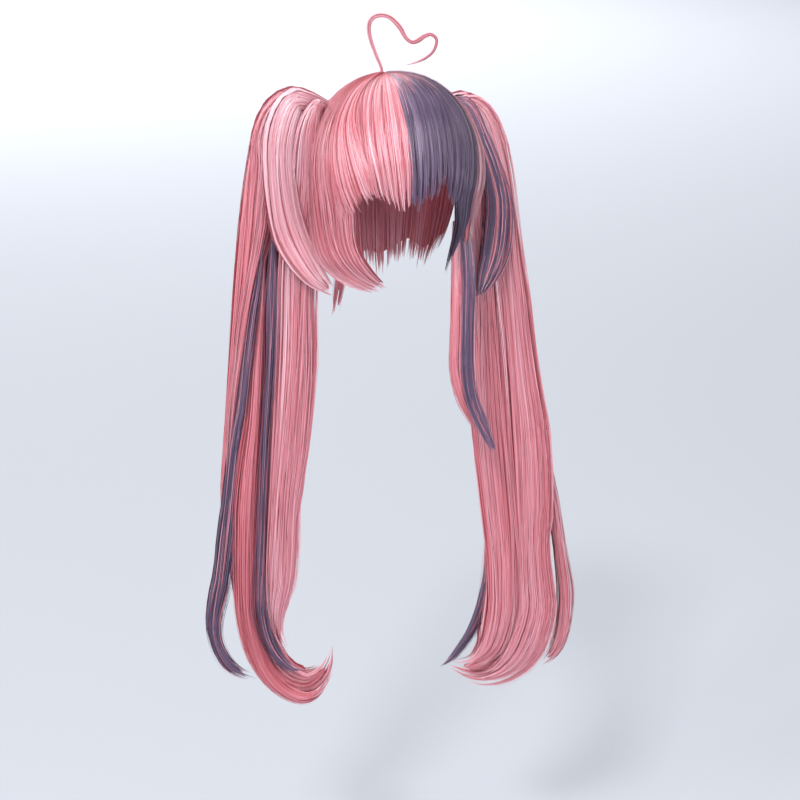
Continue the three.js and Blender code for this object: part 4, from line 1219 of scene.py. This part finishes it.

# The pale values in these plans are mostly painted light and shade: lighter where the lamps catch a lock, darker where
# it lies in shade.
LEFT_PLAN = {
    "overlay": dict(count=540, tufts=9, pale=0.38, streaks=0.03, root=1, seam=60),
    "streak_outer": dict(count=250, tufts=5, dye=PURPLE, streaks=0.3, other=PINK, veil=4, start=0.1, root=0.3, seam=110),
    "streak_inner": dict(count=250, tufts=5, dye=PURPLE, streaks=0.3, other=PINK, veil=4, start=0.1, root=0.3),
    "middle": dict(count=330, tufts=6, veil=4, pale=-0.3, start=0.1, root=0.3, seam=110),
    "front_outer": dict(count=400, tufts=7, veil=3, pale=0.12, root=1, seam=120),
    "front_inner": dict(count=540, tufts=9, veil=3, pale=0.14, root=1, seam=100),
    "back": dict(count=600, tufts=14, front=0.4, seam=170, ahead=1.0),
}
RIGHT_PLAN = {
    "overlay": dict(count=500, tufts=8, dye=PURPLE, streaks=0.3, other=PINK, root=1, seam=60),
    "streak_back": dict(count=150, tufts=3, dye=PURPLE, streaks=0.15, other=PINK, veil=2, start=0.2, root=0.3),
    "outer": dict(count=220, tufts=4, veil=2, start=0.25, root=0.15, seam=80, pale=0.1),
    "front_inner": dict(count=500, tufts=9, veil=3, pale=0.06, seam=110),
    "front_outer": dict(count=580, tufts=11, veil=1, pale=0.1, seam=110),
    "back": dict(count=600, tufts=14, front=0.4, seam=170, ahead=1.0, pale=0.06),
}
for side, sign, rows_of, plan in (("left", -1, LEFT, LEFT_PLAN), ("right", 1, RIGHT, RIGHT_PLAN)):
    for part, how in plan.items():
        name = f"tail_{side}_{part}"
        how = {"dye": PINK, **how}
        slot = "hair_purple" if how["dye"] == PURPLE else "hair_pink"
        make_lock(name, tail_lock(sign, rows_of[part]), nodes=[name], slot=slot, **how)

# The stage
CAMERA_TURN = math.radians(-13)
CAMERA_DISTANCE = 1575
CAMERA_RISE = 248
CAMERA_PITCH = math.radians(20.9)
FOCAL_PIXELS = 1500
FRAME_PIXELS = 800
FLOOR_LEVEL = -1150

camera = bpy.data.objects.new("camera", bpy.data.cameras.new("camera"))
camera.location = (
    math.sin(CAMERA_TURN) * CAMERA_DISTANCE * MM,
    -math.cos(CAMERA_TURN) * CAMERA_DISTANCE * MM,
    CAMERA_RISE * MM,
)
camera.rotation_euler = (math.pi / 2 - CAMERA_PITCH, 0, CAMERA_TURN)
camera.data.sensor_width = 36
camera.data.lens = 36 * FOCAL_PIXELS / FRAME_PIXELS
camera.data.shift_x = 3 / FRAME_PIXELS
bpy.context.scene.collection.objects.link(camera)
bpy.context.scene.camera = camera


def area_light(name, place, aim, size, power, color):
    light = bpy.data.lights.new(name, "AREA")
    light.shape = "RECTANGLE"
    light.size, light.size_y = size
    light.energy = power
    light.color = color
    lamp = bpy.data.objects.new(name, light)
    lamp.location = place
    way = np.array(aim) - np.array(place)
    yaw = math.atan2(way[0], -way[1])
    pitch = math.atan2(-way[2], math.hypot(way[0], way[1]))
    lamp.rotation_euler = (math.pi / 2 - pitch, 0, yaw + math.pi)
    bpy.context.scene.collection.objects.link(lamp)
    return lamp


area_light("key", (-1.65, -2.5, 2.9), (0, 0, -0.2), (0.7, 0.45), 93, (1, 0.985, 0.97))
area_light("side", (-2.8, -1.3, 1.5), (0, 0, -0.1), (0.7, 0.7), 44, (1, 0.99, 0.98))
area_light("fill", (1.6, -2.2, 0.3), (0, 0, -0.5), (1.6, 1.6), 27, (0.98, 0.98, 1))
area_light("top", (-0.2, 0.2, 1.5), (0, 0, 0), (1.0, 1.0), 6, (1, 1, 1))
area_light("background", (-1.2, 11, 5.5), (-1.1, 11.2, -0.86), (10, 9), 1550, (1, 1, 1))

world = bpy.data.worlds.new("studio")
world.use_nodes = True
world.node_tree.nodes["Background"].inputs["Color"].default_value = (0.86, 0.88, 0.92, 1)
world.node_tree.nodes["Background"].inputs["Strength"].default_value = 0.78
bpy.context.scene.world = world

floor_mesh = bpy.data.meshes.new("floor")
reach = 40.0
level = FLOOR_LEVEL * MM
floor_mesh.from_pydata(
    [(-reach, -reach, level), (reach, -reach, level), (reach, reach, level), (-reach, reach, level)],
    [],
    [(0, 1, 2, 3)],
)
floor = bpy.data.objects.new("floor", floor_mesh)
bpy.context.scene.collection.objects.link(floor)
floor_material, floor_tree, floor_shader = nodes_of("floor")
floor_shader.inputs["Base Color"].default_value = (0.465, 0.485, 0.525, 1)
floor_shader.inputs["Roughness"].default_value = 0.9
floor_shader.inputs["Specular IOR Level"].default_value = 0.1
floor_mesh.materials.append(floor_material)

bpy.context.scene.view_settings.view_transform = "Standard"
